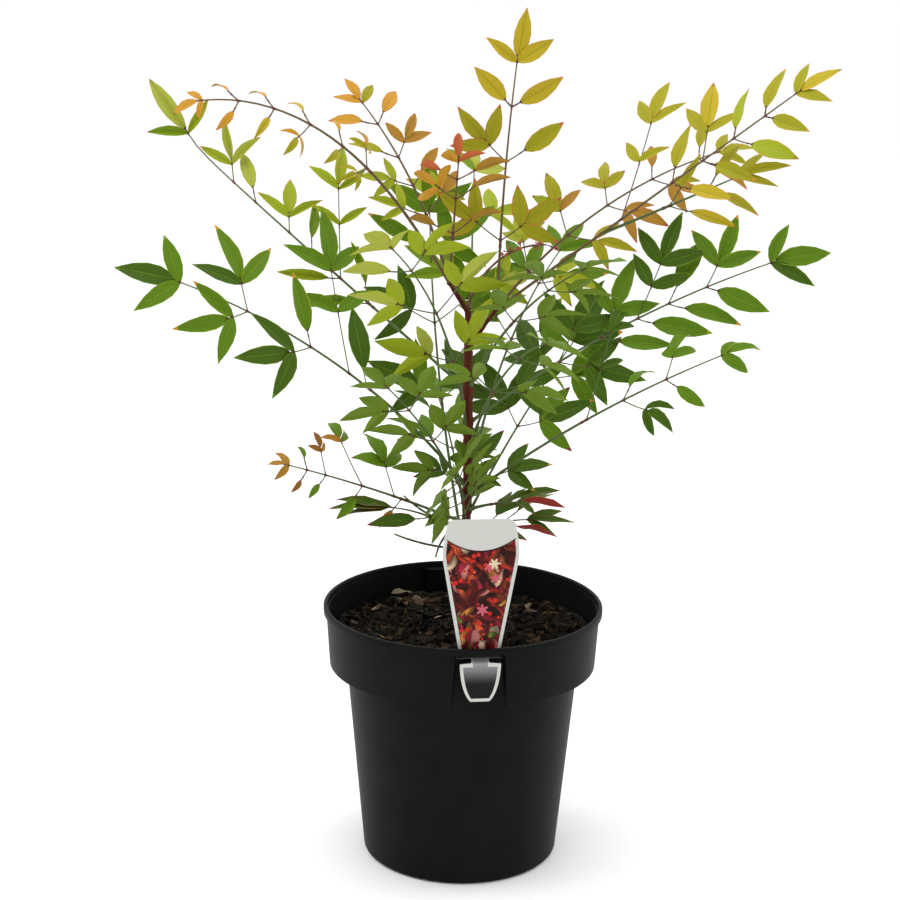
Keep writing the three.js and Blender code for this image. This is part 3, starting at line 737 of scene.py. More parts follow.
COURSE_STEPS = 24
UPRIGHT = 0.15  # sine of the lean under which a limb counts as upright
SHORT_STALK = 12.5  # a side stalk shorter than this has one leaflet, the others three
LONG_STALK = 40.0  # one longer than this has an extra pair
PAIR_PLACE, PAIR_FAN = 0.6, 54.0
SIDE_SIZE, END_SIZE, PAIR_SIZE = 0.92, 1.06, 0.78
TWIG_PAST = 3.5  # how far a side stalk goes on past its pair
BARE_END = 4.0  # a frond's bare stalk ends this far short of its first side stalk
GAP = 0.3


@dataclass(frozen=True)
class Stray:
    """How far each measure strays from its row's value, either way: angles, or shares."""

    tilt: float = 8
    spread: float = 6
    lift: float = 8
    stalk: float = 0.06
    fan: float = 8
    roll: float = 15
    length: float = 0.09
    droop: float = 9
    width: float = 0.07


STRAY = Stray()


@dataclass(frozen=True)
class Course:
    """The points and headings of a limb whose rise and bearing change as it grows."""

    points: Array
    headings: Array
    length: float

    def point(self, share: float) -> Array:
        """Return the point at a share of the length."""
        return along(self.points, share)

    def way(self, share: float) -> Array:
        """Return the unit heading at a share of the length."""
        return unit(along(self.headings, share))

    def stretch(self, start: float, end: float, step: float = 4.0) -> Array:
        """Return the points between two shares, about a step apart, on a smooth curve."""
        count = max(3, int(round((end - start) * self.length / step)) + 1)
        shares = np.linspace(start, end, count)
        at = shares * (len(self.points) - 1)
        knots = np.arange(len(self.points))
        return np.stack([np.interp(at, knots, self.points[:, i]) for i in range(3)], -1)


def along(rows: Array, share: float) -> Array:
    """Return the value of a list of vectors at a share of its length."""
    last = len(rows) - 1
    i = min(int(share * last), last - 1)
    part = share * last - i
    return rows[i] * (1 - part) + rows[i + 1] * part


def grow_course(start: Array, bearing: float, rise: Pair, length: float, swing: float = 0.0,
                bow: float = 1.0) -> Course:
    """Grow a limb's course in even steps.

    Args:
        start: Where it starts.
        bearing: Its bearing at the foot, in degrees.
        rise: Its rise at the foot and at the tip, in degrees.
        length: Its length, in millimetres.
        swing: The turn of the bearing from foot to tip.
        bow: Above 1 the bend comes late.

    Returns:
        The course: each step goes along the heading at its middle.
    """

    def way(t: float) -> Array:
        """Return the heading at a share of the length."""
        return heading(bearing + swing * t, rise[0] + (rise[1] - rise[0]) * t**bow)

    steps = [way((i + 0.5) / COURSE_STEPS) * (length / COURSE_STEPS) for i in range(COURSE_STEPS)]
    points = np.concatenate([[start], start + np.cumsum(steps, axis=0)])
    headings = np.array([way(i / COURSE_STEPS) for i in range(COURSE_STEPS + 1)])
    return Course(points, headings, length)


def facing(direction: Array, tilt: float) -> Array:
    """Return a limb's upper side: square to its heading, rolled by a tilt."""
    side = np.cross(direction, UP)
    if np.linalg.norm(side) < UPRIGHT:
        side = np.array([1.0, 0.0, 0.0])
    upper = unit(np.cross(unit(side), direction))
    return turned(upper, direction, tilt)


@dataclass(frozen=True)
class Leaf:
    """One leaflet: where it is rooted, how it lies, and its size."""

    root: Array
    way: Array
    normal: Array
    length: float
    droop: float
    width: float


@dataclass(frozen=True)
class Spray:
    """A side stalk with its leaflets."""

    start: Array
    end: Array
    leaves: tuple[Leaf, ...]
    pair_at: Array | None = None


@dataclass(frozen=True)
class Frond:
    """One compound leaf: its stalk, its rachis and the side stalks along it."""

    name: str
    bearing: float
    length: float
    rise: Pair
    leaf: float
    nodes: tuple[tuple[float, ...], ...]  # share, left stalk, right stalk, leaflets' size
    foliage: Foliage
    height: float | None = None
    carrier: str = "cane"
    swing: float = 0
    bow: float = 1
    tilt: float = 0
    spread: float = 55
    fan: float = 52
    droop: float = 16
    width: float = 0.33
    last: float = END_SIZE
    bare_share: float | None = None
    fold: float = 22
    wave: float = 0.07
    red_stalk: bool = False

    @property
    def bare(self) -> float:
        """Return the share of the length at which the bare stalk ends."""
        return self.bare_share or self.nodes[0][0] - BARE_END / self.length

    def leaf_at(self, draw: Draws, root: Array, way: Array, normal: Array, fan: float, size: float) -> Leaf:
        """Place one leaflet, fanned out from its stem, with each measure straying a little."""
        out = turned(way, normal, fan + draw(STRAY.fan))
        upper = squared(turned(normal, out, draw(STRAY.roll)), out)
        length = self.leaf * size * (1 + draw(STRAY.length))
        droop = self.droop + draw(STRAY.droop)
        width = self.width * (1 + draw(STRAY.width))
        return Leaf(root, out, upper, length, droop, width)

    def pair(self, draw: Draws, root: Array, way: Array, normal: Array, fan: float,
             size: float) -> list[Leaf]:
        """Place two leaflets that face each other."""
        return [self.leaf_at(draw, root, way, normal, angle, size) for angle in (fan, -fan)]

    def sprig(self, draw: Draws, tip: Array, way: Array, normal: Array, single: bool, size: float,
              last: float) -> list[Leaf]:
        """Place the end leaflet of a stalk and, unless it stands single, a pair."""
        pair = [] if single else self.pair(draw, tip, way, normal, self.fan, SIDE_SIZE * size)
        return [*pair, self.leaf_at(draw, tip + way * TWIG_PAST, way, normal, 0, last * size)]

    def side(self, draw: Draws, course: Course, share: float, hand: int, stalk: float,
             size: float) -> Spray:
        """Grow one side stalk with its leaflets.

        Args:
            draw: The frond's draws.
            course: The rachis.
            share: Where on it the stalk stands.
            hand: 1 for its left side, -1 for its right.
            stalk: The stalk's length.
            size: The length of its leaflets over that of the row.

        Returns:
            The spray.
        """
        start, rachis = course.point(share), course.way(share)
        upper = facing(rachis, self.tilt + draw(STRAY.tilt))
        way = turned(rachis, upper, hand * self.spread + draw(STRAY.spread))
        way = turned(way, np.cross(way, upper), draw(STRAY.lift))
        upper = squared(upper, way)
        length = stalk * (1 + draw(STRAY.stalk))
        leaves: list[Leaf] = []
        middle = None
        if stalk > LONG_STALK:
            middle = start + way * (length * PAIR_PLACE)
            leaves += self.pair(draw, middle, way, upper, PAIR_FAN, PAIR_SIZE * size)
        tip = start + way * length
        leaves += self.sprig(draw, tip, way, upper, stalk < SHORT_STALK, size, END_SIZE)
        return Spray(start, start + way * (length + TWIG_PAST), tuple(leaves), middle)

    def sprays(self, course: Course, seed: int) -> list[Spray]:
        """Grow the side stalks node by node from foot to tip, and the rachis's own end."""
        draw = Draws(seed)
        grown = []
        for share, left, right, *sizes in self.nodes:
            for hand, stalk in ((1, left), (-1, right)):
                if stalk > 0:
                    size = sizes[0] if sizes else 1.0
                    grown.append(self.side(draw, course, share, hand, stalk, size))
        way, tip = course.way(1), course.point(1)
        upper = facing(way, self.tilt + draw(STRAY.tilt))
        leaves = self.sprig(draw, tip, way, upper, False, 1.0, self.last)
        grown.append(Spray(tip, tip + way * TWIG_PAST, tuple(leaves)))
        return grown


FRONDS = (
    Frond("left_long", 179, 252, (52, 22), 41, ((0.41, 0, 9), (0.47, 0, 74), (0.6, 14, 8), (0.8, 13, 20)),
          GREEN, 273, swing=8, tilt=-60, droop=14, width=0.31, spread=52, fan=57),
    Frond("left_upper", 155, 274, (37, 58), 33,
          ((0.34, 9, 12), (0.44, 6, 70), (0.54, 0, 10), (0.62, 0, 13), (0.74, 0, 9), (0.82, 0, 14)),
          LIMEY, 343, swing=-5, bow=22, tilt=-45, droop=15, width=0.3, spread=40, fan=48, last=1.6,
          fold=36),
    Frond("left_bronze", 196, 228, (58, -4), 16,
          ((0.44, 16, 14), (0.54, 11, 10), (0.66, 22, 8), (0.78, 8, 8), (0.89, 7, 7)),
          BRONZED, carrier="left_fork", swing=6, bow=1.8, tilt=-40, droop=60, width=0.31,
          spread=62, fan=60, fold=32, red_stalk=True),
    Frond("left_gold", 132, 142, (69, 42), 23, ((0.34, 16, 16), (0.5, 13, 10), (0.66, 9, 13), (0.86, 8, 8)),
          OLIVE, carrier="left_fork", swing=3, tilt=-30, droop=24, spread=50, fan=50, fold=24,
          red_stalk=True),
    Frond("copper_shoot", 277, 86, (74, 81), 25, ((0.42, 12, 12), (0.7, 12, 14), (0.86, 10, 10)),
          COPPERY, carrier="left_fork", swing=6, droop=62, width=0.27, spread=60, fan=60, fold=28,
          red_stalk=True),
    Frond("top_gold", 35, 169, (89, 82), 31, ((0.28, 22, 18), (0.6, 16, 12), (0.82, 3, 3)),
          GOLDEN, carrier="right_fork", swing=-5, droop=8, width=0.36, spread=52, red_stalk=True),
    Frond("right_bronze", 17, 199, (49, 15), 27,
          ((0.17, 26, 20), (0.36, 18, 18), (0.54, 16, 14), (0.73, 10, 13), (0.92, 8, 10)),
          RUSSET, carrier="right_fork", swing=-7, tilt=40, droop=24, width=0.32, spread=60, fan=50,
          red_stalk=True),
    Frond("right_gold", 338, 251, (38, 38), 31,
          ((0.43, 74, 0), (0.6, 8, 12), (0.7, 20, 8), (0.8, 4, 12), (0.9, 3, 3)),
          MELLOW, carrier="right_fork", tilt=55, bare_share=0.36, droop=14, spread=52, fan=50,
          red_stalk=True),
    Frond("right_gold_lower", 347, 100, (24, 26), 30, ((0.5, 12, 12), (0.78, 8, 8)),
          MELLOW, carrier="right_gold", swing=-8, tilt=50, droop=22, width=0.24, spread=40, fan=40),
    Frond("right_long", -2, 240, (38, 19), 38,
          ((0.32, 24, 20), (0.46, 18, 11), (0.58, 42, 8), (0.68, 11, 9), (0.8, 18, 5)),
          GREEN, 319, tilt=60, droop=10, spread=40),
    Frond("right_low", 338, 210, (40, 26), 24, ((0.5, 64, 0), (0.64, 8, 26), (0.8, 16, 8)),
          GREEN, 266, tilt=50, droop=80, width=0.36, spread=52, fan=50, fold=26),
    Frond("rear_right", 52, 205, (75, 37), 34, ((0.4, 16, 18), (0.6, 24, 22), (0.84, 15, 15)),
          GREEN, 261, swing=-8, tilt=20, droop=15, width=0.34),
    Frond("right_inner", 27, 150, (58, 47), 38, ((0.22, 14, 16, 0.75), (0.5, 16, 18), (0.78, 20, 18)),
          DEEP, 250, tilt=30, droop=20, width=0.35),
    Frond("rear_tall", 108, 250, (62, 86), 38, ((0.46, 18, 16), (0.68, 22, 24), (0.88, 11, 14)),
          GREEN, 221, droop=12, fan=60),
    Frond("front_lime", 236, 186, (78, 34), 34, ((0.36, 16, 18), (0.6, 26, 24), (0.85, 14, 11)),
          LIMEY, 305, swing=-5, tilt=35, droop=18),
    Frond("left_inner", 214, 118, (62, 42), 30, ((0.24, 16, 14, 0.9), (0.5, 14, 14), (0.78, 14, 14)),
          DEEP, 262, tilt=40, droop=20, width=0.35),
    Frond("left_low", 192, 140, (26, 18), 17,
          ((0.38, 8, 0, 0.9), (0.42, 0, 22, 1.6), (0.6, 9, 38, 1.1), (0.8, 8, 16, 0.65),
           (0.9, 6, 6, 0.65)),
          SCORCHED, 246, tilt=-55, droop=50, width=0.4, spread=62, last=0.7, fold=30, wave=0.14),
    Frond("right_foot", 328, 40, (24, 8), 32, ((0.6, 11, 0),),
          BLUSHED, 256, tilt=18, droop=12, width=0.27, spread=32, fan=30, fold=20, wave=0.2),
    Frond("front_mid", 284, 172, (60, 18), 32, ((0.42, 20, 20), (0.74, 16, 16)),
          GREEN, 296, tilt=-25, droop=18, width=0.34),
    Frond("rear_mid", 82, 214, (62, 34), 34, ((0.46, 22, 22), (0.76, 18, 16)),
          LIMEY, 322, tilt=20),
    Frond("front_right", 304, 150, (58, 26), 31, ((0.48, 18, 18), (0.76, 14, 14)),
          GREEN, 344, tilt=-30, droop=18),
    Frond("front_foot", 255, 80, (58, 32), 27,
          ((0.24, 14, 14), (0.44, 14, 14), (0.64, 14, 14), (0.84, 11, 11)),
          DEEP, 240, tilt=55),
    Frond("rear_foot", 96, 128, (50, 20), 31, ((0.24, 14, 14, 0.8), (0.5, 18, 18), (0.78, 10, 10)),
          DEEP, 246, tilt=15),
    Frond("right_foot_low", 345, 46, (30, 4), 30, ((0.3, 14, 11), (0.6, 11, 11)),
          BLUSHED, 238, tilt=20, droop=12, width=0.27, spread=38, fan=34, fold=20, wave=0.18),
    Frond("left_foot", 190, 62, (40, 10), 42, ((0.5, 11, 0),),
          BLUSHED, 236, tilt=-20, droop=10, width=0.27, spread=26, fan=14, fold=22, wave=0.12),
)


@dataclass(frozen=True)
class Grown:
    """A frond with the course and sprays that the rule gave it."""

    frond: Frond
    course: Course
    sprays: tuple[Spray, ...]


# ---- cane and limbs


@dataclass(frozen=True)
class Limb:
    """A limb that isn't a frond: a fork of the cane, or a cut stub."""

    name: str
    height: float
    bearing: float
    rise: Pair
    length: float


FORKS = (
    Limb("left_fork", 399, 223, (48, 48), 31),
    Limb("right_fork", 370, 13, (62, 48), 37),
)


@dataclass(frozen=True)
class Cane:
    """The upright cane with its flared foot, joint rings, bark ribs and two forks."""

    girth: tuple[Pair, ...] = (
        (167.3, 5.6), (171, 4.2), (182, 3.2), (240, 2.7), (300, 3.1), (352, 3.4), (382, 2.6), (402, 1.8),
    )
    lean: float = 1.6
    ring_step: float = 1.2
    sides: int = 28
    ribs: int = 9
    rib_height: float = 0.035  # of the radius
    rough: float = 0.03  # of the radius
    joint_height: float = 0.16  # of the radius
    joint_reach: float = 2.2
    fork_sides: int = 14
    fork_radii: Pair = (1.9, 1.25)
    fork_end: float = 0.5  # how far a fork's end swells out
    drawn_out: Pair = (0.18, 0.3)  # how much the bark's unevenness is drawn out, on each

    def centre(self, z: float) -> Array:
        """Return the cane's centre at a height: upright with a slight lean and sway."""
        foot, top = self.girth[0][0], self.girth[-1][0]
        t = min(max((z - foot) / (top - foot), 0.0), 1.0)
        return np.array([self.lean * math.sin(math.pi * t), -self.lean * t, z])

    def course(self, limb: Limb) -> Course:
        """Return the course of a fork or a stub."""
        return grow_course(self.centre(limb.height), limb.bearing, limb.rise, limb.length)

    def build(self) -> None:
        """Build the cane and forks in one mesh of bark.

        The radius follows the girths, times 1 + ribs x |sin| round the cane, and swells in
        a bell curve at each height where a frond or fork leaves it.
        """
        foot, top = self.girth[0][0], self.girth[-1][0]
        heights = np.arange(foot, top + self.ring_step / 2, self.ring_step)
        heights[-1] = top
        path = np.array([self.centre(z) for z in heights])
        radii = np.interp(heights, *zip(*self.girth))
        joints = [f.height for f in (*FRONDS, *FORKS, *STUBS) if f.height is not None]
        swell = sum(np.exp(-(((heights - z) / self.joint_reach) ** 2)) for z in joints)
        radii = radii * (1 + self.joint_height * np.minimum(swell, 1.0))
        angle = round_turn(self.sides)
        spots = np.stack(np.broadcast_arrays(radii[:, None] * np.cos(angle), radii[:, None] * np.sin(angle),
                                             heights[:, None] * self.drawn_out[0]), -1)
        ribs = np.abs(np.sin(angle * self.ribs / 2))[None] * self.rib_height
        skin = Skin()
        skin.add_tube(path, radii, self.sides, [0, 0, 1], 1 + ribs + self.rough * ripple(spots, 2.4, 11))
        for fork in FORKS:
            line = self.course(fork).stretch(0, 1, self.ring_step)
            end = np.exp(-(((np.arange(len(line)) - len(line) + 1) / 2.0) ** 2)) * self.fork_end
            lumps = lumpy(line * [1, 1, self.drawn_out[1]], self.fork_sides, 0.04, 2.5, 12)
            radii = np.linspace(*self.fork_radii, len(line)) + end
            skin.add_tube(line, radii, self.fork_sides, [0, 1, 1], lumps)
        bark = Finish("cane_bark", "#441711", "#5c2c1a", rough=(0.5, 0.8), bump=0.6, depth=0.35,
                      effect=Relief.FIBRES, shine=0.1)
        cut = Finish("cane_cut", "#2b1b12", rough=(0.7, 0.9), values=(("Grain", 1800.0),))
        piece = skin.piece("cane_and_forks", [bark, cut], sharp=50)
        place(piece, "cane_bark", "main_stem", *(fork.name for fork in FORKS))


STUBS = (
    Limb("cut_stub_upper", 243, 182, (12, 46), 52),
    Limb("cut_stub_lower", 227, 190, (6, 26), 55),
    Limb("cut_stub_short", 247, 204, (-4, -80), 36),
)


@dataclass(frozen=True)
class CutStubs:
    """Old leaf stalks cut back to bare stubs, with a clasping foot and a split dry end."""

    foot: float = 1.7
    shaft: float = 0.78
    tip: float = 0.66
    narrowing: float = 0.6  # the share of the length at which the shaft starts to narrow to its tip
    clasp: float = 9.0
    sides: int = 10
    dry_rings: int = 2  # how many rings at the end are dry

    def build(self, cane: Cane) -> None:
        """Build the three stubs.

        Args:
            cane: The cane that carries them.
        """
        skin = Skin()
        for seed, stub in enumerate(STUBS, 30):
            line = cane.course(stub).stretch(0, 1, 1.5)
            far = np.linspace(0, stub.length, len(line))
            radii = self.shaft + (self.foot - self.shaft) * np.exp(-far / self.clasp)
            radii += (self.tip - self.shaft) * smooth(self.narrowing * stub.length, stub.length, far)
            dry = np.repeat(np.arange(1 - len(line), 0) >= -self.dry_rings, self.sides)
            skin.add_tube(line, radii, self.sides, [dry, 0, 1], lumpy(line, self.sides, 0.07, 3.0, seed))
        bark = Finish("old_stalk", "#2f3d20", "#4a4f2c", rough=(0.55, 0.8), bump=0.4, depth=0.2,
                      effect=Relief.FIBRES)
        end = Finish("dry_end", "#7d6a45", rough=(0.7, 0.9))
        piece = skin.piece("cut_stubs", [bark, end])
        place(piece, "dry_stub", *(stub.name for stub in STUBS))


# ---- fronds


def grow_fronds(cane: Cane) -> list[Grown]:
    """Grow every frond by the rule.

    Args:
        cane: The cane that carries them, straight or by its forks.

    Returns:
        The fronds with their courses and sprays, in the order of the rows.
    """
    ends = {fork.name: cane.course(fork).points[-1] for fork in FORKS}
    grown = []
    for seed, frond in enumerate(FRONDS, 1):
        start = cane.centre(frond.height) if frond.height is not None else ends[frond.carrier]
        course = grow_course(start, frond.bearing, frond.rise, frond.length, frond.swing, frond.bow)
        ends[frond.name] = course.point(frond.bare)
        grown.append(Grown(frond, course, tuple(frond.sprays(course, seed))))
    return grown


STALKS = [
    Finish("stalk_" + name, tone, rough=(0.42, 0.6), bump=0.35, depth=0.15, effect=Relief.FIBRES)
    for name, tone in (("green", "#455a22"), ("brown", "#5a451e"), ("joint", "#542a1a"))
]


@dataclass(frozen=True)
class LeafStalks:
    """The bare foot of each frond: a round stalk that clasps the cane."""

    clasp: float = 2.2
    foot: float = 1.15
    tip: float = 0.95
    clasp_reach: float = 7.0
    sides: int = 10

    def build(self, grown: Sequence[Grown]) -> None:
        """Build all the bare stalks in one mesh.

        Args:
            grown: The fronds.
        """
        skin = Skin()
        for seed, item in enumerate(grown, 50):
            line = item.course.stretch(0, item.frond.bare, 2.5)
            far = np.linspace(0, item.frond.bare * item.frond.length, len(line))
            radii = self.foot + (self.tip - self.foot) * far / far[-1]
            if item.frond.height is not None:
                radii = radii + (self.clasp - self.foot) * np.exp(-((far / self.clasp_reach) ** 2))
            lumps = lumpy(line, self.sides, 0.05, 4.0, seed)
            skin.add_tube(line, radii, self.sides, [int(item.frond.red_stalk)] * 3, lumps)
        piece = skin.piece("leaf_stalks", STALKS)
        place(piece, "leaf_stalk", *(f"{item.frond.name}_stalk" for item in grown))


@dataclass(frozen=True)
class FrondTwigs:
    """The rachises, side stalks and fine leaflet stems, with swollen joints."""

    rachis: Pair = (0.92, 0.46)
    side: Pair = (0.5, 0.4)
    joint: float = 0.26  # how far a joint stands out from the rachis
    side_joint: float = 0.7  # a side stalk's joint over this
    joint_reach: float = 1.3
    band: Pair = (0.35, 0.4)  # the swell from which a joint is red, on each
    overlap: float = 0.02  # the share of the length that a rachis goes back into its bare stalk
    step: float = 0.9
    sag: float = 0.025
    sides: int = 8
    side_sides: int = 6

    def build(self, grown: Sequence[Grown]) -> None:
        """Build all the twigs in one mesh.

        Args:
            grown: The fronds.
        """
        skin = Skin()
        for item in grown:
            self.add_rachis(skin, item)
            for spray in item.sprays:
                self.add_side(skin, spray, item.frond.red_stalk)
        piece = skin.piece("frond_twigs", STALKS)
        place(piece, "leaf_stalk", *(f"{item.frond.name}_leaves" for item in grown))

    def swell(self, off: Array) -> Array:
        """Return the sum of bell curves over the joints, from each place's distances to them."""
        return np.exp(-((off / self.joint_reach) ** 2)).sum(1)

    def add_rachis(self, skin: Skin, item: Grown) -> None:
        """Add a frond's rachis: a taper that swells in a bell curve at each joint."""
        frond = item.frond
        start = frond.bare - self.overlap
        line = item.course.stretch(start, 1, self.step)
        shares = np.linspace(start, 1, len(line))
        taper = (shares - frond.bare) / (1 - frond.bare)
        radii = self.rachis[0] + (self.rachis[1] - self.rachis[0]) * np.clip(taper, 0, 1)
        joints = np.array([node[0] for node in frond.nodes] + [frond.bare, 1.0])
        swell = self.swell((shares[:, None] - joints) * frond.length)
        finish = np.where((swell > self.band[0])[:-1].repeat(self.sides), 2, int(frond.red_stalk))
        skin.add_tube(line, radii + self.joint * np.minimum(swell, 1), self.sides, [finish, finish[:1], 2])

    def add_side(self, skin: Skin, spray: Spray, red: bool) -> None:
        """Add a side stalk, with a joint at its foot, at its pair and at its end."""
        way = spray.end - spray.start
        length = float(np.linalg.norm(way))
        shares = np.linspace(0, 1, max(6, int(length / self.step)))
        sag = np.sin(math.pi * shares)[:, None] * UP * (self.sag * length)
        line = spray.start + shares[:, None] * way - sag
        joints = [0.0, length - TWIG_PAST, length]
        if spray.pair_at is not None:
            joints.append((length - TWIG_PAST) * PAIR_PLACE)
        swell = self.swell(shares[:, None] * length - np.array(joints))
        radii = np.linspace(*self.side, len(shares)) + self.joint * self.side_joint * np.minimum(swell, 1)
        finish = np.where((swell > self.band[1])[:-1].repeat(self.side_sides), 2, int(red))
        skin.add_tube(line, radii, self.side_sides, [finish, 2, 2])


@dataclass(frozen=True)
class Leaflets:
    """Thin leaflets: a folded, drooping blade of eight faces round by seven along.

    The half width is (u / b)^a ((1 - u) / (1 - b))^c times the widest, with its peak at b.
    """

    broadest: float = 0.42
    base_power: float = 0.78
    sweep: float = 0.06  # how far a tip is swept aside, as a share of the length
    most_sweep: float = 0.1
    twist: float = 14.0  # the spread of the turn from root to tip, in degrees
    edge_waves: float = 1.6  # how many waves an edge has
    fuller: float = 1.1  # width over that of the frond's row
    reach: float = 0.98  # length over that of the leaf's place in the growth rule
    stem_half: float = 0.36
    tip_half: float = 0.1
    thick: float = 0.42
    thinnest: float = 0.05  # the least share of the profile that the thickness follows
    sunk: float = 0.6
    own_share: float = 0.2  # how many leaflets have another tint than their spray
    lean: float = 0.8  # how far a spray's tint strays from its place in the list
    sharp: float = 28.0
    rows: tuple[float, ...] = (0.0, 0.04, 0.13, 0.29, 0.49, 0.71, 0.9, 1.0)
    # Round the section: over the blade from left to right, then back under it.
    across: tuple[float, ...] = (-1.0, -0.91, -0.05, 0.05, 0.91, 1.0, 0.05, -0.05)
    over: tuple[float, ...] = (0.0, 0.45, 1.0, 1.0, 0.45, 0.0, -1.0, -1.0)
    upper: int = 5  # how many of the faces round the section lie above
    zones: tuple[int, ...] = (1, 0, 4, 0, 1, 3, 3, 3)  # blade 0, margin 1, tip 2, underside 3, midrib 4

    def surface(self, leaves: Sequence[Leaf], fold: Array, wave: Array, seed: int) -> Array:
        """Work out the points of many leaflets at once.

        The midrib bends down in an arc: forward L sin(bu) / b, down L (1 - cos bu) / b. A
        point across it lies c half widths aside, raised by the fold and the edge's wave.

        Args:
            leaves: The leaflets.
            fold: Each one's fold along the midrib, in degrees.
            wave: Each one's edge wave, as a share of its half width.
            seed: The seed of the twists and the waves' phases.

        Returns:
            Points by leaflet, row and place round the section.
        """
        draw = np.random.default_rng(seed)
        count = len(leaves)
        u = np.array(self.rows)[None, :]
        c = np.array(self.across)[None, None, :]
        root, way, normal, length, droop, width = (
            np.array([getattr(leaf, field.name) for leaf in leaves])[:, None] for field in fields(Leaf)
        )
        root, way, normal = root[:, None], way[:, None], normal[:, None]
        widest = self.fuller * width * length / 2
        length = self.reach * length + self.sunk
        bend = np.radians(droop)
        tip_power = self.base_power * (1 - self.broadest) / self.broadest
        profile = (u / self.broadest) ** self.base_power
        profile = profile * ((1 - u) / (1 - self.broadest)) ** tip_power
        low = np.where(u < self.broadest, self.stem_half, self.tip_half)
        half = np.maximum(widest * profile * (u > 0), low)
        forward = length * np.sin(bend * u) / bend - self.sunk
        down = length * (1 - np.cos(bend * u)) / bend
        twist = np.radians(draw.normal(0, self.twist, (count, 1))) * u
        lift = np.sin(np.radians(fold))[:, None] * half
        phase = draw.uniform(0, 2 * math.pi, (count, 2))
        edge = wave[:, None, None] * np.stack(
            [np.sin(2 * math.pi * self.edge_waves * u + phase[:, i : i + 1]) for i in (0, 1)], -1
        )
        hand = np.where(c < 0, edge[..., :1], edge[..., 1:])
        rise = np.abs(c) * (lift[..., None] + hand * half[..., None])
        aside = c * (half * np.cos(np.radians(fold))[:, None])[..., None]
        body = self.thick / 2 * np.array(self.over)[None, None, :]
        rise = rise + body * np.sqrt(np.clip(profile, self.thinnest, 1))[..., None]
        aside, rise = spun(aside, rise, twist[..., None])
        side = np.cross(normal, way)
        tilt = (bend * u)[..., None, None]
        local = normal * np.cos(tilt) + way * np.sin(tilt)
        swept = np.clip(draw.normal(0, self.sweep, (count, 1)), -self.most_sweep, self.most_sweep)
        swept = swept * length * u**2
        middle = root + way * forward[..., None, None] - normal * down[..., None, None]
        middle = middle + side * swept[..., None, None]
        return middle + side * aside[..., None] + local * rise[..., None]

    def polygons(self, count: int) -> list[Array]:
        """Return the quads round each leaflet and the caps at its root and tip.

        A quad below starts one corner on, so that its diagonal lies under the one above and
        the two skins never cross.
        """
        rings, around = len(self.rows), len(self.across)
        quads = ring_quads(rings, around)[:, ::-1]
        below = np.arange(len(quads)) % around >= self.upper
        quads[below] = np.roll(quads[below], 1, axis=1)
        first = np.arange(count)[:, None, None] * rings * around
        caps = np.stack([np.arange(around), np.arange(around)[::-1] + (rings - 1) * around])
        return [(quads[None] + first).reshape(-1, 4), (caps[None] + first).reshape(-1, around)]

    def finishes(self, tints: Sequence[Tint]) -> list[Array]:
        """Deal each face its tone: stem, blade, margin, tip, underside or midrib.

        Args:
            tints: Each leaflet's tint.

        Returns:
            The finish numbers of the quads and of the caps.
        """
        number = {tone: i for i, tone in enumerate(Tone)}
        rows = len(self.rows) - 1
        tones = [(t.blade, t.margin, t.tip, t.under, t.rib) for t in tints]
        picks = np.array([[number[tone] for tone in row] for row in tones])
        zone = np.tile(np.array(self.zones), (rows, 1))
        zone[-1, : self.upper] = 2
        quads = picks[:, zone.ravel()].reshape(len(tints), rows, len(self.across))
        quads[:, 0] = number[STALK_RED]
        caps = np.stack([np.full(len(tints), number[STALK_RED]), picks[:, 2]], -1)
        return [quads.ravel(), caps.ravel()]

    def build(self, name: str, slot: str, grown: Sequence[Grown], seed: int) -> None:
        """Build all the leaflets of some fronds in one mesh.

        Args:
            name: The piece's name.
            slot: The record's slot of its finish.
            grown: The fronds.
            seed: The seed of what strays from leaflet to leaflet.
        """
        draw = np.random.default_rng(seed)
        leaves, tints, fold, wave = [], [], [], []
        for item in grown:
            choices = item.frond.foliage.value
            for share, spray in zip(np.linspace(0, 1, len(item.sprays)), item.sprays):
                near = share * len(choices) + draw.uniform(-self.lean, self.lean)
                usual = int(np.clip(near, 0, len(choices) - 1))
                for leaf in spray.leaves:
                    own = draw.random() < self.own_share
                    tints.append(choices[draw.integers(len(choices)) if own else usual])
                    leaves.append(leaf)
                    fold.append(item.frond.fold * draw.uniform(0.5, 1.5))
                    wave.append(item.frond.wave * draw.uniform(0.4, 1.6))
        points = self.surface(leaves, np.array(fold), np.array(wave), seed)
        across = (np.array(self.across) + 1) / 2
        u = np.array(self.rows)[None, :, None]
        pattern = np.stack(np.broadcast_arrays(across[None, None], u, points[..., 0])[:2], -1)
        piece = self.piece(name, points, tints, pattern)
        place(piece, slot, *(f"{item.frond.name}_leaves" for item in grown))

    def piece(self, name: str, points: Array, tints: Sequence[Tint], pattern: Array | None = None) -> Object:
        """Make the mesh object of some leaflets.

        Args:
            name: Its name.
            points: The leaflets' points, as surface gives them.
            tints: Each one's tint.
            pattern: The pattern coordinates of the points, or none.

        Returns:
            The new object.
        """
        skin = Skin()
        skin.add(points, self.polygons(len(points)), self.finishes(tints), pattern)
        return skin.piece(name, list(Tone), self.sharp)


PIECES = (
    ("green_leaflets", "leaf_green", (GREEN, DEEP, BLUSHED, SCORCHED)),
    ("lime_leaflets", "leaf_lime", (LIMEY,)),
    ("gold_leaflets", "leaf_gold", (GOLDEN, MELLOW, OLIVE)),
    ("bronze_leaflets", "leaf_bronze", (BRONZED, RUSSET, COPPERY)),
)


# ---- flower spray


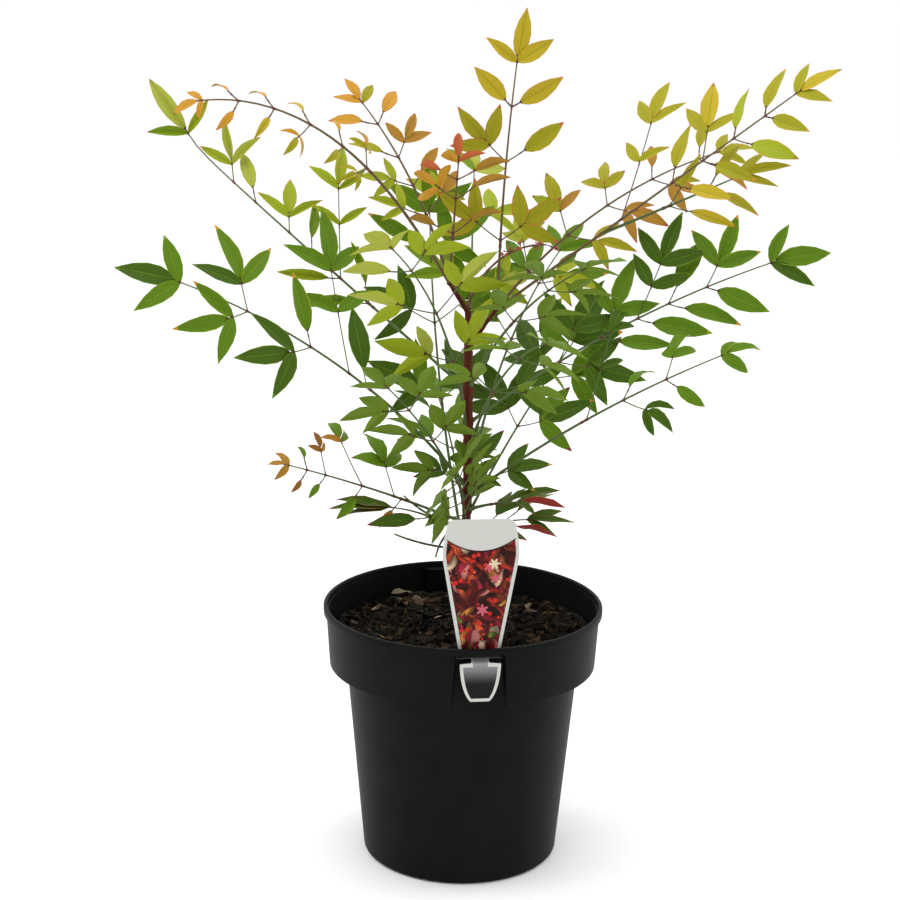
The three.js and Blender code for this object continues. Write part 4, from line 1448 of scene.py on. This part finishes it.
@dataclass(frozen=True)
class FlowerSpray:
    """The spent flower spray that ends the cane: a bent twig, fine branchlets and buds."""

    bearing: float = 18
    rise: Pair = (74, -6)
    length: float = 78
    buds: int = 7
    stalk: float = 8
    outer: float = 0.5
    splay: float = 60
    stray: float = 20
    radii: Pair = (1.15, 0.55)
    bud: Pair = (1.2, 2.4)  # radius and length
    fine: int = 3  # extra branchlets on each stalk
    fine_bud: float = 0.6  # their buds over the others
    fine_splay: float = 0.55
    sides: int = 8
    thin: float = 0.32  # a branchlet's radius
    thin_sides: int = 6

    def build(self, cane: Cane) -> None:
        """Build the spray.

        Args:
            cane: The cane that it ends.
        """
        top = cane.girth[-1][0] + GAP
        course = grow_course(cane.centre(top), self.bearing, self.rise, self.length)
        line = course.stretch(0, 1, 1.4)
        draw = Draws(self.buds)
        more = np.random.default_rng(5)
        skin = Skin()
        skin.add_tube(line, np.linspace(*self.radii, len(line)), self.sides, [0, 0, 1],
                      lumpy(line, self.sides, 0.1, 3.0, 71))
        for i in range(self.buds):
            share = self.outer + (1 - self.outer) * i / (self.buds - 1)
            hand = 1 if i % 2 else -1
            start = course.point(share)
            way = unit(turned(along(course.headings, share), UP, hand * self.splay + draw(self.stray)))
            self.add_branchlet(skin, start, way, self.stalk)
            for _ in range(self.fine):
                foot = start + way * self.stalk * more.uniform(0.25, 0.7)
                side = unit(way + more.normal(0, self.fine_splay, 3))
                self.add_branchlet(skin, foot, side, self.stalk * more.uniform(0.35, 0.6), self.fine_bud)
        wood = Finish("spray_wood", "#51281a", "#6d4a25", rough=(0.6, 0.8), effect=Relief.FIBRES)
        bud = Finish("spray_bud", "#8c2a20", "#b0523a", rough=(0.45, 0.65))
        piece = skin.piece("spent_flower_spray", [wood, bud])
        place(piece, "flower_spray", "flower_spray")

    def add_branchlet(self, skin: Skin, start: Array, way: Array, length: float, size: float = 1.0) -> None:
        """Add a thin stalk that ends in a pointed bud, whose radius follows the sine of its length.

        Args:
            skin: Where it is gathered.
            start: Its foot.
            way: Its direction.
            length: Its stalk's length.
            size: A factor on the bud.
        """
        radius, long = self.bud[0] * size, self.bud[1] * size
        stalk = np.linspace(0, length, 5)
        swell = np.linspace(0.12, 1, 6)
        far = np.concatenate([stalk, length + long * swell])
        bulge = 0.1 + radius * np.sin(math.pi * swell * 0.97) ** 0.8
        reach = np.concatenate([np.full(len(stalk), self.thin), bulge])
        finish = np.repeat(np.arange(len(far) - 1) >= len(stalk) - 1, self.thin_sides)
        skin.add_tube(start + far[:, None] * way, reach, self.thin_sides, [finish, 0, 1])


# ---- pot


@dataclass(frozen=True)
class NurseryPot:
    """The round pot: body, stepped collar with two flat recesses, rolled lip, drain holes."""

    height: float = 187
    lip_radius: float = 100
    lip_height: float = 5.5
    lip_width: float = 3
    lip_edge: float = 1.3
    collar_top: float = 98
    collar_foot: float = 95.5
    collar_bottom: float = 143
    body_top: float = 83.4
    body_foot: float = 70.5
    edge: float = 4
    wall: float = 2
    floor: float = 2.5
    soften: float = 0.5  # rounding of the steps
    recess_face: float = 91.3
    recess_plate: float = 2
    recess_half: Pair = (16.0, 19.0)  # half widths at its top and its foot
    recess_turn: float = 12.0  # columns within this angle follow the recess's edge
    recess_fade: float = 20.0
    recess_wall: float = 0.45
    slot_half: float = 15.5
    slot_sill: float = 177.8
    drains: int = 6
    drain_ring: float = 48
    drain_radius: float = 6
    sharp: float = 35

    def profile(self) -> tuple[Array, Array]:
        """Return the outline's radii and heights, from the foot's middle out, up and in.

        Returns:
            The points, and for each its kind: 0 free, 1 on the collar's outer face, 2 on
            its inner face.
        """
        low, under, soft = self.collar_bottom, self.height - self.lip_height, self.soften
        flare, taper = self.body_top - self.body_foot, self.collar_top - self.collar_foot
        flat = (20, 42, 54)  # rings on the foot and on the floor
        points: list[tuple[float, float, int]] = [(0, 0, 0), *((r, 0, 0) for r in flat)]

        def bend(r: float, z: float, radius: float, start: float, turn: float = 90, steps: int = 4) -> None:
            """Add a round corner about a centre, from a bearing through a turn."""
            for i in range(steps + 1):
                a = math.radians(start + turn * i / steps)
                points.append((r + radius * math.cos(a), z + radius * math.sin(a), 0))

        bend(self.body_foot - self.edge, self.edge, self.edge, -90, steps=6)
        for t in np.linspace(0.06, 0.985, 12):
            points.append((self.body_foot + flare * t, self.edge + (low - self.edge) * t, 0))
        points += [(self.body_top, low, 0), (self.body_top + 3, low, 0), (self.collar_foot - 1.2, low, 1)]
        for a in (0.0, 0.3, 0.7, 1.0):
            points.append((self.collar_foot - soft + soft * math.sin(a * math.pi / 2),
                           low + soft - soft * math.cos(a * math.pi / 2), 1))
        for t in np.linspace(0.06, 0.96, 10):
            points.append((self.collar_foot + taper * t, low + (under - low) * t, 1))
        points += [(self.collar_top, under - 0.05, 0), (self.collar_top + 0.3, under, 0)]
        bend(self.lip_radius - soft, under + soft, soft, -90)
        bend(self.lip_radius - self.lip_edge, self.height - self.lip_edge, self.lip_edge, 0)
        inner, thick = self.lip_radius - self.lip_width, self.wall
        points += [(inner + soft, self.height, 0), (inner + 0.1, self.height - soft, 0),
                   (inner, self.height - 2, 0), (inner - 0.1, under + 1.6, 0)]
        for t in np.linspace(1.0, 0.02, 10):
            points.append((self.collar_foot - thick + taper * t, low + thick + (under - low) * t * 0.985, 2))
        points += [(self.collar_foot - thick - 0.5, low + thick, 2), (self.body_top - thick, low + thick, 0)]
        for t in np.linspace(0.98, 0.0, 9):
            height = self.floor + (low + thick - self.floor) * t
            points.append((self.body_foot - thick + flare * t, height, 0))
        points += [*((r, self.floor, 0) for r in reversed(flat)), (0, self.floor, 0)]
        rows = np.array(points)
        return rows[:, :2], rows[:, 2].astype(int)

    def columns(self) -> tuple[Array, Array]:
        """Return each column's bearing from the front, and its distance from a recess.

        Returns:
            Degrees round from the front, and degrees from the nearer recess's middle.
        """
        near = [0, 1.5, 3, 4.5, 6, 7.5, 9, 10.4, 11.4, 12, 12.5, 13.5, 15, 17, 19]
        quarter = np.array([*near, *np.arange(21, 91, 2.0)])
        half = np.concatenate([quarter, 180 - quarter[-2::-1]])
        around = np.concatenate([half, -half[-2:0:-1]])
        return around, np.minimum(np.abs(around), 180 - np.abs(around))

    def grid(self) -> Array:
        """Return the pot's points by row and column.

        A column near a recess is drawn to the recess's edge, which narrows upwards. There
        the collar's radius is cut back to the recess's flat face, d / cos(angle).
        """
        rows, kind = self.profile()
        around, off = self.columns()
        z = rows[:, 1][:, None]
        rise = np.clip((z - self.collar_bottom) / (self.height - self.lip_height - self.collar_bottom), 0, 1)
        half = self.recess_half[1] + (self.recess_half[0] - self.recess_half[1]) * rise
        edge = np.degrees(np.arctan(half / self.recess_face))
        turn, fade = self.recess_turn, self.recess_fade
        inside = off * edge / turn
        outside = edge + (off - turn) / (fade - turn) * (fade - edge)
        bearing = np.where(off <= turn, inside, np.where(off < fade, outside, off))
        bearing = np.where(kind[:, None] > 0, bearing, off)
        radius = np.broadcast_to(rows[:, 0][:, None], bearing.shape)
        face = np.where(kind == 1, self.recess_face, self.recess_face - self.recess_plate)[:, None]
        flat = face / np.cos(np.radians(bearing))
        weight = (off <= turn - self.recess_wall) & (kind[:, None] > 0)
        radius = np.where(weight, np.minimum(radius, flat), radius)
        back = np.abs(around) > 90
        turned_by = np.where(back, 180 - bearing, bearing) * np.where(around < 0, -1, 1)
        angle = np.radians(turned_by - 90)
        height = np.broadcast_to(z, bearing.shape)
        return np.stack([radius * np.cos(angle), radius * np.sin(angle), height], -1)

    def build(self) -> None:
        """Build the pot, cut its slot and drain holes, and dress it."""
        grid = self.grid()
        rows, columns = grid.shape[:2]
        points = np.concatenate([grid[1:-1].reshape(-1, 3), grid[0, :1], grid[-1, :1]])
        here = np.arange(columns)
        after = (here + 1) % columns
        middle, last = (rows - 2) * columns, (rows - 3) * columns
        foot = np.stack([np.full(columns, middle), after, here], -1)
        top = np.stack([np.full(columns, middle + 1), last + here, last + after], -1)
        skin = Skin()
        skin.add(points, [ring_quads(rows - 2, columns), foot, top], [0, 0, 0])
        plastic = Finish(
            "pot_plastic", "#0a0a0a", "#0e0e0e", rough=(0.42, 0.58), bump=0.12, depth=0.05,
            values=(("Grain", 1500.0), ("Patch", 45.0)), shine=0.07,
        )
        piece = skin.piece("nursery_pot", [plastic], self.sharp)
        cut_holes(piece, self.cutters())
        piece.data.set_sharp_from_angle(angle=math.radians(self.sharp))
        place(piece, "pot_plastic", "pot")

    def cutters(self) -> list[Object]:
        """Make the solids that cut the label slot and the drain holes.

        Returns:
            The two cutters.
        """
        top = self.height - self.lip_height + 1.5
        low, high = -self.collar_top - 1, -self.recess_face + self.recess_plate + 0.6
        box = np.array([[x * self.slot_half, y, z] for z in (self.slot_sill, top)
                        for x, y in ((-1, low), (1, low), (1, high), (-1, high))])
        slot, holes = Skin(), Skin()
        slot.add(box, closed_rings(2, 4), [0, 0, 0])
        for a in round_turn(self.drains):
            middle = np.array([self.drain_ring * math.cos(a), self.drain_ring * math.sin(a), 0])
            line = middle + np.array([-2.0, self.floor + 2.0])[:, None] * UP
            holes.add(*tube(line, np.full(2, self.drain_radius), 24)[:2], [0, 0, 0])
        return [slot.piece("slot_cutter", []), holes.piece("drain_cutter", [])]


def cut_holes(piece: Object, cutters: Sequence[Object]) -> None:
    """Cut solids out of a piece, apply the cuts, and remove the cutters.

    Args:
        piece: What is cut.
        cutters: Closed solids.
    """
    for cutter in cutters:
        cut = piece.modifiers.new(cutter.name, "BOOLEAN")
        cut.object = cutter
        cut.operation = "DIFFERENCE"
        cut.solver = "EXACT"
    bpy.context.view_layer.update()
    depsgraph = bpy.context.evaluated_depsgraph_get()
    done = bpy.data.meshes.new_from_object(piece.evaluated_get(depsgraph))
    piece.modifiers.clear()
    old, piece.data = piece.data, done
    bpy.data.meshes.remove(old)
    done.name = piece.name
    for cutter in cutters:
        shape = cutter.data
        bpy.data.objects.remove(cutter)
        bpy.data.meshes.remove(shape)


# ---- potting mix


@dataclass(frozen=True)
class PottingMix:
    """The dark bark mix: a rough mound with chips, crumbs, grains, straw and dry litter."""

    top: float = 167
    mound: float = 1.6
    radius: float = 93.0
    recess_face: float = 88.9
    floor: float = 2.9
    step: float = 145.4
    body_radius: float = 81.0
    foot_radius: float = 68.2
    columns: int = 180
    middle: float = 1.2  # the radius of the innermost ring
    lumps: int = 620
    chips: int = 1500
    crumbs: int = 3600
    straws: int = 26
    grains: int = 12
    grit: int = 22
    seed: int = 8
    bark: tuple[tuple[str, str], ...] = (
        ("black", "#100e0b"), ("dark", "#1c1813"), ("brown", "#352818"), ("red", "#482e20"),
        ("grey", "#484238"),
    )
    # Where the fallen leaflets lie and their bearings; the first ones lie in a heap.
    fallen: tuple[Triple, ...] = (
        (-40, 60, 30), (-30, 58, 170), (-36, 50, 110), (-24, 66, 220), (-33, 64, 300), (-45, 70, 5),
        (-30, 68, 330), (-62, 48, 15), (-58, 54, 320), (52, 34, 60), (58, 24, 190), (-18, 22, 10),
    )
    heap: int = 7

    def height_at(self, x: Array, y: Array) -> Array:
        """Return the surface's height: a low mound with coarse and fine unevenness."""
        share = np.hypot(x, y) / self.radius
        spot = np.stack([x, y], -1)
        rough = 1.1 * ripple(spot, 24, 3) + 0.7 * ripple(spot, 10, 4) + 0.35 * ripple(spot, 4, 6)
        return self.top - self.mound * share**2 + np.clip(rough, -2.4, 1.9) - 0.6

    def inside(self, x: Array, y: Array, margin: float = 2.0) -> Array:
        """Return which places lie inside the pot's wall and clear of the recess plates."""
        return (np.hypot(x, y) < self.radius - margin) & (np.abs(y) < self.recess_face - margin)

    def build_surface(self) -> None:
        """Build the body of the mix: a lathe whose top row heights follow the mound."""
        angle = round_turn(self.columns)
        radii = np.concatenate([[self.foot_radius, self.body_radius, self.radius, self.radius],
                                np.linspace(self.radius, self.middle, 58)[1:]])
        x, y = radii[:, None] * np.cos(angle), radii[:, None] * np.sin(angle)
        y[2:] = np.clip(y[2:], -self.recess_face, self.recess_face)
        z = self.height_at(x, y)
        z[:3] = np.array([self.floor, self.step, self.step])[:, None]
        skin = Skin()
        skin.add(np.stack([x, y, z], -1), closed_rings(len(radii), self.columns), [0, 0, 0])
        soil = Finish(
            "potting_mix", "#12100d", "#1e1914", rough=(0.8, 1.0), bump=0.9, depth=0.9,
            values=(("Grain", 700.0), ("Patch", 140.0)), shine=0.2,
        )
        place(skin.piece("mix_body", [soil], sharp=60), "potting_mix", "potting_mix")

    def scatter(self, draw: np.random.Generator, count: int, margin: float) -> tuple[Array, Array, Array]:
        """Return random places on the mix: two coordinates and the surface's height."""
        x, y = draw.uniform(-self.radius, self.radius, (2, count * 3))
        keep = np.nonzero(self.inside(x, y, margin))[0][:count]
        x, y = x[keep], y[keep]
        return x, y, self.height_at(x, y)

    def add_blocks(self, skin: Skin, draw: np.random.Generator, count: int, low: Sequence[float],
                   high: Sequence[float], finishes: Sequence[int], tip: float) -> None:
        """Gather small broken blocks that lie about on the mix.

        Each is a box whose corners are jittered, turned about the height by any angle and
        about its own axes by a few degrees.

        Args:
            skin: Where they are gathered.
            draw: The random draws.
            count: How many there are.
            low: The least length, width and thickness.
            high: The greatest.
            finishes: The finish numbers they are dealt.
            tip: The spread of their tilt, in degrees.
        """
        x, y, z = self.scatter(draw, count, 1.0 + 0.55 * high[0])
        count = len(x)
        size = draw.uniform(low, high, (count, 3)) / 2
        corner = np.array([[i, j, k] for k in (-1, 1) for i, j in ((-1, -1), (1, -1), (1, 1), (-1, 1))])
        points = corner[None] * size[:, None] * draw.uniform(0.55, 1.15, (count, 8, 3))
        turn = draw.uniform(0, 2 * math.pi, count)
        lean, roll = np.radians(draw.normal(0, tip, (2, count)))
        for a, i, j in ((roll, 1, 2), (lean, 0, 2), (turn, 0, 1)):
            points[..., i], points[..., j] = spun(points[..., i], points[..., j], a[:, None])
        points += np.stack([x, y, z + size[:, 2] * 0.5], -1)[:, None]
        box = np.concatenate(closed_rings(2, 4))
        faces = (box[None] + np.arange(count)[:, None, None] * 8).reshape(-1, 4)
        skin.add(points, [faces], [np.repeat(draw.choice(finishes, count), len(box))])

    def build_litter(self) -> None:
        """Build the chips, crumbs and grains that lie on the mix."""
        draw = np.random.default_rng(self.seed)
        chips, bits = Skin(), Skin()
        for skin, count, low, high, finishes, tip in (
            (chips, self.lumps, (4.5, 3.0, 1.6), (12, 7, 4.2), (0, 0, 0, 1, 1, 2), 24),
            (chips, self.chips, (2.2, 1.4, 0.6), (7.5, 3.8, 2.2), (0, 0, 0, 1, 1, 1, 2, 2, 3, 4), 24),
            (chips, self.crumbs, (0.7, 0.6, 0.5), (2.4, 1.8, 1.5), (0, 0, 1, 1, 2, 4), 40),
            (bits, self.straws, (6.0, 0.7, 0.5), (17, 1.5, 0.9), (0, 3, 3), 9),
            (bits, self.grains, (2.0, 2.0, 1.8), (3.2, 3.0, 2.8), (1,), 40),
            (bits, self.grit, (1.0, 1.0, 0.8), (2.2, 1.8, 1.6), (2, 3), 40),
        ):
            self.add_blocks(skin, draw, count, low, high, finishes, tip)
        bark = [Finish("bark_" + name, tone, rough=(0.85, 1.0), bump=0.5, depth=0.3,
                       values=(("Grain", 900.0),), shine=0.08) for name, tone in self.bark]
        loose = (
            Finish("straw", "#8a7248", rough=(0.7, 0.9), shine=0.2),
            Finish("slow_feed_grain", "#a09a58", rough=(0.35, 0.5), shine=0.4),
            Finish("light_grit", "#7c766c", rough=(0.8, 0.95), shine=0.2),
            Finish("dry_stick", "#5a4028", "#3c2c1e", rough=(0.7, 0.9), shine=0.2),
        )
        for skin, name, finishes, sharp in ((chips, "bark_chips", bark, 20), (bits, "mix_bits", loose, 30)):
            place(skin.piece(name, finishes, sharp), "potting_mix")

    def build_dead_leaves(self) -> None:
        """Lay a few fallen, curled leaflets on the mix, most of them in one heap."""
        draw = np.random.default_rng(self.seed + 1)
        leaves = []
        for i, (x, y, bearing) in enumerate(self.fallen):
            heap = (i % 3) * 1.6 if i < self.heap else 0.0
            z = float(self.height_at(np.array(x), np.array(y))) + draw.uniform(1.2, 3.0) + heap
            way = heading(bearing, draw.uniform(0, 14))
            normal = squared(UP + draw.normal(0, 0.25, 3), way)
            leaves.append(Leaf(np.array([x, y, z]), way, normal, draw.uniform(14, 24),
                               draw.uniform(40, 85), draw.uniform(0.34, 0.46)))
        form, count = Leaflets(), len(leaves)
        points = form.surface(leaves, draw.uniform(20, 48, count), np.full(count, 0.3), 21)
        dry = [Tint(DRY, DRY, DRY, HUSK), Tint(HUSK, DRY, DRY, DRY)]
        tints = [dry[i % len(dry)] for i in range(count)]
        place(form.piece("fallen_leaflets", points, tints), "potting_mix")


# ---- label


@dataclass(frozen=True)
class PlantLabel:
    """The hooked plastic label: a tag inside the rim, a waist through the slot, a tab outside.

    It is one sheet, whose distance from the axis and half width are functions of its height.
    Its header is bare, and its picture is a generic one of rosettes and berries.
    """

    thick: float = 0.7
    tag_plane: float = 91.6
    tab_plane: float = 98.2
    top: float = 276
    corner: float = 6
    crossing: Pair = (176.6, 181.4)
    outline: tuple[Pair, ...] = (
        (149.5, 6.5), (152, 8.6), (156, 10.6), (161, 12.2), (167, 13.3), (173, 13.9), (176.4, 14.0),
        (177.0, 6.4), (178.2, 5.6), (181.6, 7.8), (182.4, 14.0), (200, 17.1), (225, 21.6), (247, 25.5),
        (251, 26.0), (256, 25.8), (262, 25.0), (270, 23.5),
    )
    border: float = 2.4
    arc_side: Pair = (23.0, 262.0)  # where the black arc meets the border
    arc_middle: float = 253.8
    arc_width: float = 0.8
    picture_foot: float = 184.5
    motif_heights: Pair = (189, 254)
    rosettes: int = 4
    petals: int = 6
    berries: int = 26
    layer: float = 0.006  # one motif stands in front of the last
    edge: float = 2.2  # the white edge round the tab's print
    neck_print: float = 5.0
    neck_top: float = 181.2
    shoulder: float = 174.2  # where the tab's print narrows to the neck
    seed: int = 14

    def half(self, z: Array) -> Array:
        """Return the half width at a height, with a quarter round at the top corners."""
        heights, halves = zip(*self.outline)
        straight = np.interp(z, heights, halves)
        up = np.clip(z - (self.top - self.corner), 0, self.corner)
        round_off = self.corner - np.sqrt(np.maximum(self.corner**2 - up**2, 0))
        return straight - round_off

    def plane(self, z: Array) -> Array:
        """Return the front face's distance from the axis at a height."""
        return self.tab_plane + (self.tag_plane - self.tab_plane) * smooth(*self.crossing, z)

    def arc(self, x: Array) -> Array:
        """Return the height of the arc under the header: a parabola."""
        side, high = self.arc_side
        return self.arc_middle + (high - self.arc_middle) * (np.asarray(x) / side) ** 2

    def on_front(self, x: Array, z: Array, proud: float) -> Array:
        """Return points on the front face at these places, a little in front of it."""
        return np.stack([x, -self.plane(z) - proud, z], -1)

    def build(self) -> None:
        """Build the sheet and what is printed on it."""
        z = np.unique(np.concatenate([
            np.linspace(149.5, 176.4, 16), np.linspace(176.6, 182.4, 16), np.linspace(184, 270, 36),
            self.top - self.corner * (1 - np.sin(np.linspace(0, math.pi / 2, 9))),
        ]))
        x = self.half(z)[:, None] * np.linspace(-1, 1, 25)
        front = self.on_front(x, np.broadcast_to(z[:, None], x.shape), 0)
        points, polygons = sheet_skin(front, front + np.array([0, self.thick, 0]))
        skin = Skin()
        skin.add(points, polygons, [0, 0, 0])
        plastic = Finish("label_plastic", "#c4c5be", rough=(0.32, 0.42), bump=0.05, depth=0.03, shine=0.4)
        place(skin.piece("label_sheet", [plastic]), "label_plastic", "plant_label")
        self.build_print()
        self.build_tab_print()

    def add_sheet(self, skin: Skin, x: Array, z: Array, proud: float, finish: int) -> None:
        """Gather a thin printed area over a grid of places on the front face."""
        front = self.on_front(x, z, proud)
        points, polygons = sheet_skin(front, front + np.array([0, proud * 0.9, 0]))
        skin.add(points, polygons, [finish] * 3)

    def add_motifs(self, skin: Skin, outline: Array, places: Array, sizes: Array, turns: Array,
                   finishes: Array, proud: float) -> None:
        """Gather flat printed motifs, each a copy of one outline, kept inside the border.

        Args:
            skin: Where they are gathered.
            outline: The outline's points, counter-clockwise as seen from the front.
            places: Each motif's middle.
            sizes: Each one's length and width factors.
            turns: Each one's turn, in radians.
            finishes: Each one's finish number.
            proud: How far they stand in front of the sheet.
        """
        flat = outline[None] * sizes[:, None]
        cosine, sine = np.cos(turns)[:, None], np.sin(turns)[:, None]
        x = places[:, :1] + flat[..., 0] * cosine - flat[..., 1] * sine
        z = places[:, 1:] + flat[..., 0] * sine + flat[..., 1] * cosine
        past = (np.abs(x) - self.half(z) + self.border + 0.1).max(1, keepdims=True)
        x -= np.sign(places[:, :1]) * np.maximum(past, 0)
        z -= np.maximum((z - self.arc(x) + self.arc_width).max(1, keepdims=True), 0)
        step = proud + self.layer * np.arange(len(places))[:, None]
        rows = np.arange(x.size).reshape(x.shape)
        skin.add(self.on_front(x, z, step), [rows], [finishes])

    def build_print(self) -> None:
        """Build the tag's picture and the arc over it."""
        inks = [
            Finish("print_" + name, tone, rough=(0.35, 0.5), bump=0.04, depth=0.02, shine=0.15)
            for name, tone in (("dark", "#141110"), ("scarlet", "#c2261a"), ("crimson", "#7c1216"),
                               ("rose", "#c05a6a"), ("cream", "#dcc6a4"))
        ]
        skin = Skin()
        v = np.linspace(-1, 1, 33)
        bow = self.arc_side[0] * v
        top = self.arc(bow) - 0.2
        z = self.picture_foot + (top - self.picture_foot) * np.linspace(0, 1, 30)[:, None]
        self.add_sheet(skin, (self.half(z) - self.border) * v, z, 0.05, 0)
        z = self.arc(bow) + np.linspace(-self.arc_width / 2, self.arc_width / 2, 3)[:, None]
        self.add_sheet(skin, np.broadcast_to(bow, z.shape), z, 0.2, 1)
        draw = np.random.default_rng(self.seed)

        def spots(count: int) -> Array:
            """Return evenly strewn places in the picture."""
            high = draw.uniform(*self.motif_heights, count)
            return np.stack([draw.uniform(-1, 1, count) * (self.half(high) - 4), high], -1)

        a = np.linspace(0, 2 * math.pi, 12, endpoint=False)
        blade = np.stack([np.cos(a), np.sin(a) * np.abs(np.sin(a)) ** 0.4], -1)
        disc = np.stack([np.cos(a), np.sin(a)], -1)
        count, petals = self.rosettes, self.petals
        middle = np.repeat(spots(count), petals, 0)
        turn = np.tile(round_turn(petals), count) + np.repeat(draw.uniform(0, 1, count), petals)
        reach = np.repeat(draw.uniform(1.6, 2.4, count), petals)
        middle = middle + np.stack([np.cos(turn), np.sin(turn)], -1) * reach[:, None]
        tone = np.repeat(draw.choice([4, 5, 4], count), petals)
        self.add_motifs(skin, blade, middle, np.stack([reach, reach * 0.42], -1), turn, tone, 0.08)
        size = draw.uniform(0.8, 1.6, self.berries)
        self.add_motifs(skin, disc, spots(self.berries), np.stack([size, size], -1),
                        np.zeros(self.berries), draw.choice([2, 2, 3], self.berries), 0.32)
        place(skin.piece("label_picture", [PrintedBlades(), *inks], sharp=30), "label_plastic")

    def build_tab_print(self) -> None:
        """Build the tab's dark fill inside its pale edge, which fades to grey up the neck."""
        ink = Finish("tab_ink", "#0b0b0b", "#97989a", rough=(0.35, 0.5), bump=0.04, depth=0.02,
                     effect=Relief.FADE, shine=0.15)
        z = np.concatenate([np.linspace(self.outline[0][0] + self.edge, self.shoulder, 22),
                            np.linspace(self.shoulder + 0.05, self.neck_top, 14)])[:, None]
        neck = np.where(z < 177.2, self.neck_print, self.half(z) - 0.6)
        x = np.where(z <= self.shoulder, self.half(z) - self.edge, neck) * np.linspace(-1, 1, 9)
        skin = Skin()
        self.add_sheet(skin, x, np.broadcast_to(z, x.shape), 0.06, 0)
        place(skin.piece("label_tab_print", [ink], sharp=30), "label_plastic")


# ---- studio


@dataclass(frozen=True)
class Studio:
    """The camera, the pale floor and the soft light."""

    eye: Triple = (-0.1772, -1.3888, 0.6635)
    right: Triple = (0.99322, -0.11549, 0.01313)
    up: Triple = (0.01643, 0.25130, 0.96777)
    lens: float = 82.18
    floor_half: float = 30.0
    floor_white: float = 0.97
    sky: Pair = (0.75, 1.35)  # strength in front of the plant and behind it
    aim: Triple = (0, 0, 0.3)  # where the lights look
    # Each light's name, place and side in metres, and power in watts.
    lights: tuple[tuple[str, Triple, float, float], ...] = (
        ("left", (-1.7, 0.3, 1.1), 1.4, 10.0),
        ("right", (1.8, 0.4, 1.0), 1.4, 10.0),
        ("top", (-0.2, -0.3, 2.4), 1.6, 16.0),
    )

    def build(self) -> None:
        """Set up the camera, floor, world and lights."""
        scene = bpy.context.scene
        scene.view_settings.view_transform = "Standard"
        data = bpy.data.cameras.new("studio_camera")
        data.lens = self.lens
        data.sensor_width = 36.0
        scene.camera = self.hang("studio_camera", data, np.array(self.right), np.array(self.up), self.eye)
        self.build_floor()
        self.build_world()
        for name, spot, size, power in self.lights:
            data = bpy.data.lights.new(name, "AREA")
            data.size, data.energy = size, power
            back = unit(np.array(spot) - np.array(self.aim))
            side = unit(np.cross(UP, back))
            self.hang(name, data, side, np.cross(back, side), spot)

    def hang(self, name: str, data: bpy.types.ID, right: Array, up: Array, spot: Sequence[float]) -> Object:
        """Hang a camera or a light.

        Args:
            name: Its name.
            data: Its camera or light data.
            right: The unit direction to its right.
            up: The unit direction up from it.
            spot: Where it hangs, in metres.

        Returns:
            The new object, which looks against right x up.
        """
        item = bpy.data.objects.new(name, data)
        columns = np.stack([right, up, np.cross(right, up), np.array(spot)], -1)
        item.matrix_world = Matrix([*columns.tolist(), [0, 0, 0, 1]])
        bpy.context.scene.collection.objects.link(item)
        return item

    def build_world(self) -> None:
        """Make the room: white to look at, its light softly brighter behind the plant than in front."""
        world = bpy.data.worlds.new("soft_room")
        world.use_nodes = True
        tree = world.node_tree
        way = add_node(tree, "TexCoord").outputs["Generated"]
        depth = add_node(tree, "SeparateXYZ", _Vector=way).outputs["Y"]
        front, behind = self.sky
        level = add_node(tree, "MapRange", _Value=depth, _From_Min=-1.0, _To_Min=front, _To_Max=behind)
        seen = add_node(tree, "LightPath")
        strength = add_node(tree, "Math", operation="MAXIMUM", _0=level.outputs["Result"],
                            _1=seen.outputs["Is Camera Ray"])
        shader = tree.nodes["Background"]
        shader.inputs["Color"].default_value = (1, 1, 1, 1)
        tree.links.new(strength.outputs["Value"], shader.inputs["Strength"])
        bpy.context.scene.world = world

    def build_floor(self) -> None:
        """Lay the pale floor, a plain sheet marked as stage."""
        corners = np.array([[-1, -1, 0], [1, -1, 0], [1, 1, 0], [-1, 1, 0]]) * self.floor_half / MM
        skin = Skin()
        skin.add(corners, [np.array([[0, 1, 2, 3]])], [0])
        material, _, inputs = new_material("studio_floor", 0.1)
        inputs["Base Color"].default_value = (*[self.floor_white] * 3, 1)
        inputs["Roughness"].default_value = 0.9
        floor = skin.piece("studio_floor", [])
        floor.data.materials.append(material)
        floor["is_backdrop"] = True


# ---- assembly


def main() -> None:
    """Build the studio and every piece in order, and log the boxes of the solids and of the pieces."""
    logging.basicConfig(level=logging.INFO, format="%(message)s")
    Studio().build()
    cane = Cane()
    NurseryPot().build()
    mix = PottingMix()
    mix.build_surface()
    mix.build_litter()
    mix.build_dead_leaves()
    PlantLabel().build()
    cane.build()
    CutStubs().build(cane)
    grown = grow_fronds(cane)
    LeafStalks().build(grown)
    FrondTwigs().build(grown)
    for seed, (name, slot, kinds) in enumerate(PIECES, 100):
        Leaflets().build(name, slot, [item for item in grown if item.frond.foliage in kinds], seed)
    FlowerSpray().build(cane)
    boxes = {"cad": CAD_BOX, "visual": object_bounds()}
    plain = {key: [[float(v) for v in corner] for corner in box] for key, box in boxes.items()}
    log.info("boxes: %s", plain)


if __name__ == "__main__":
    main()
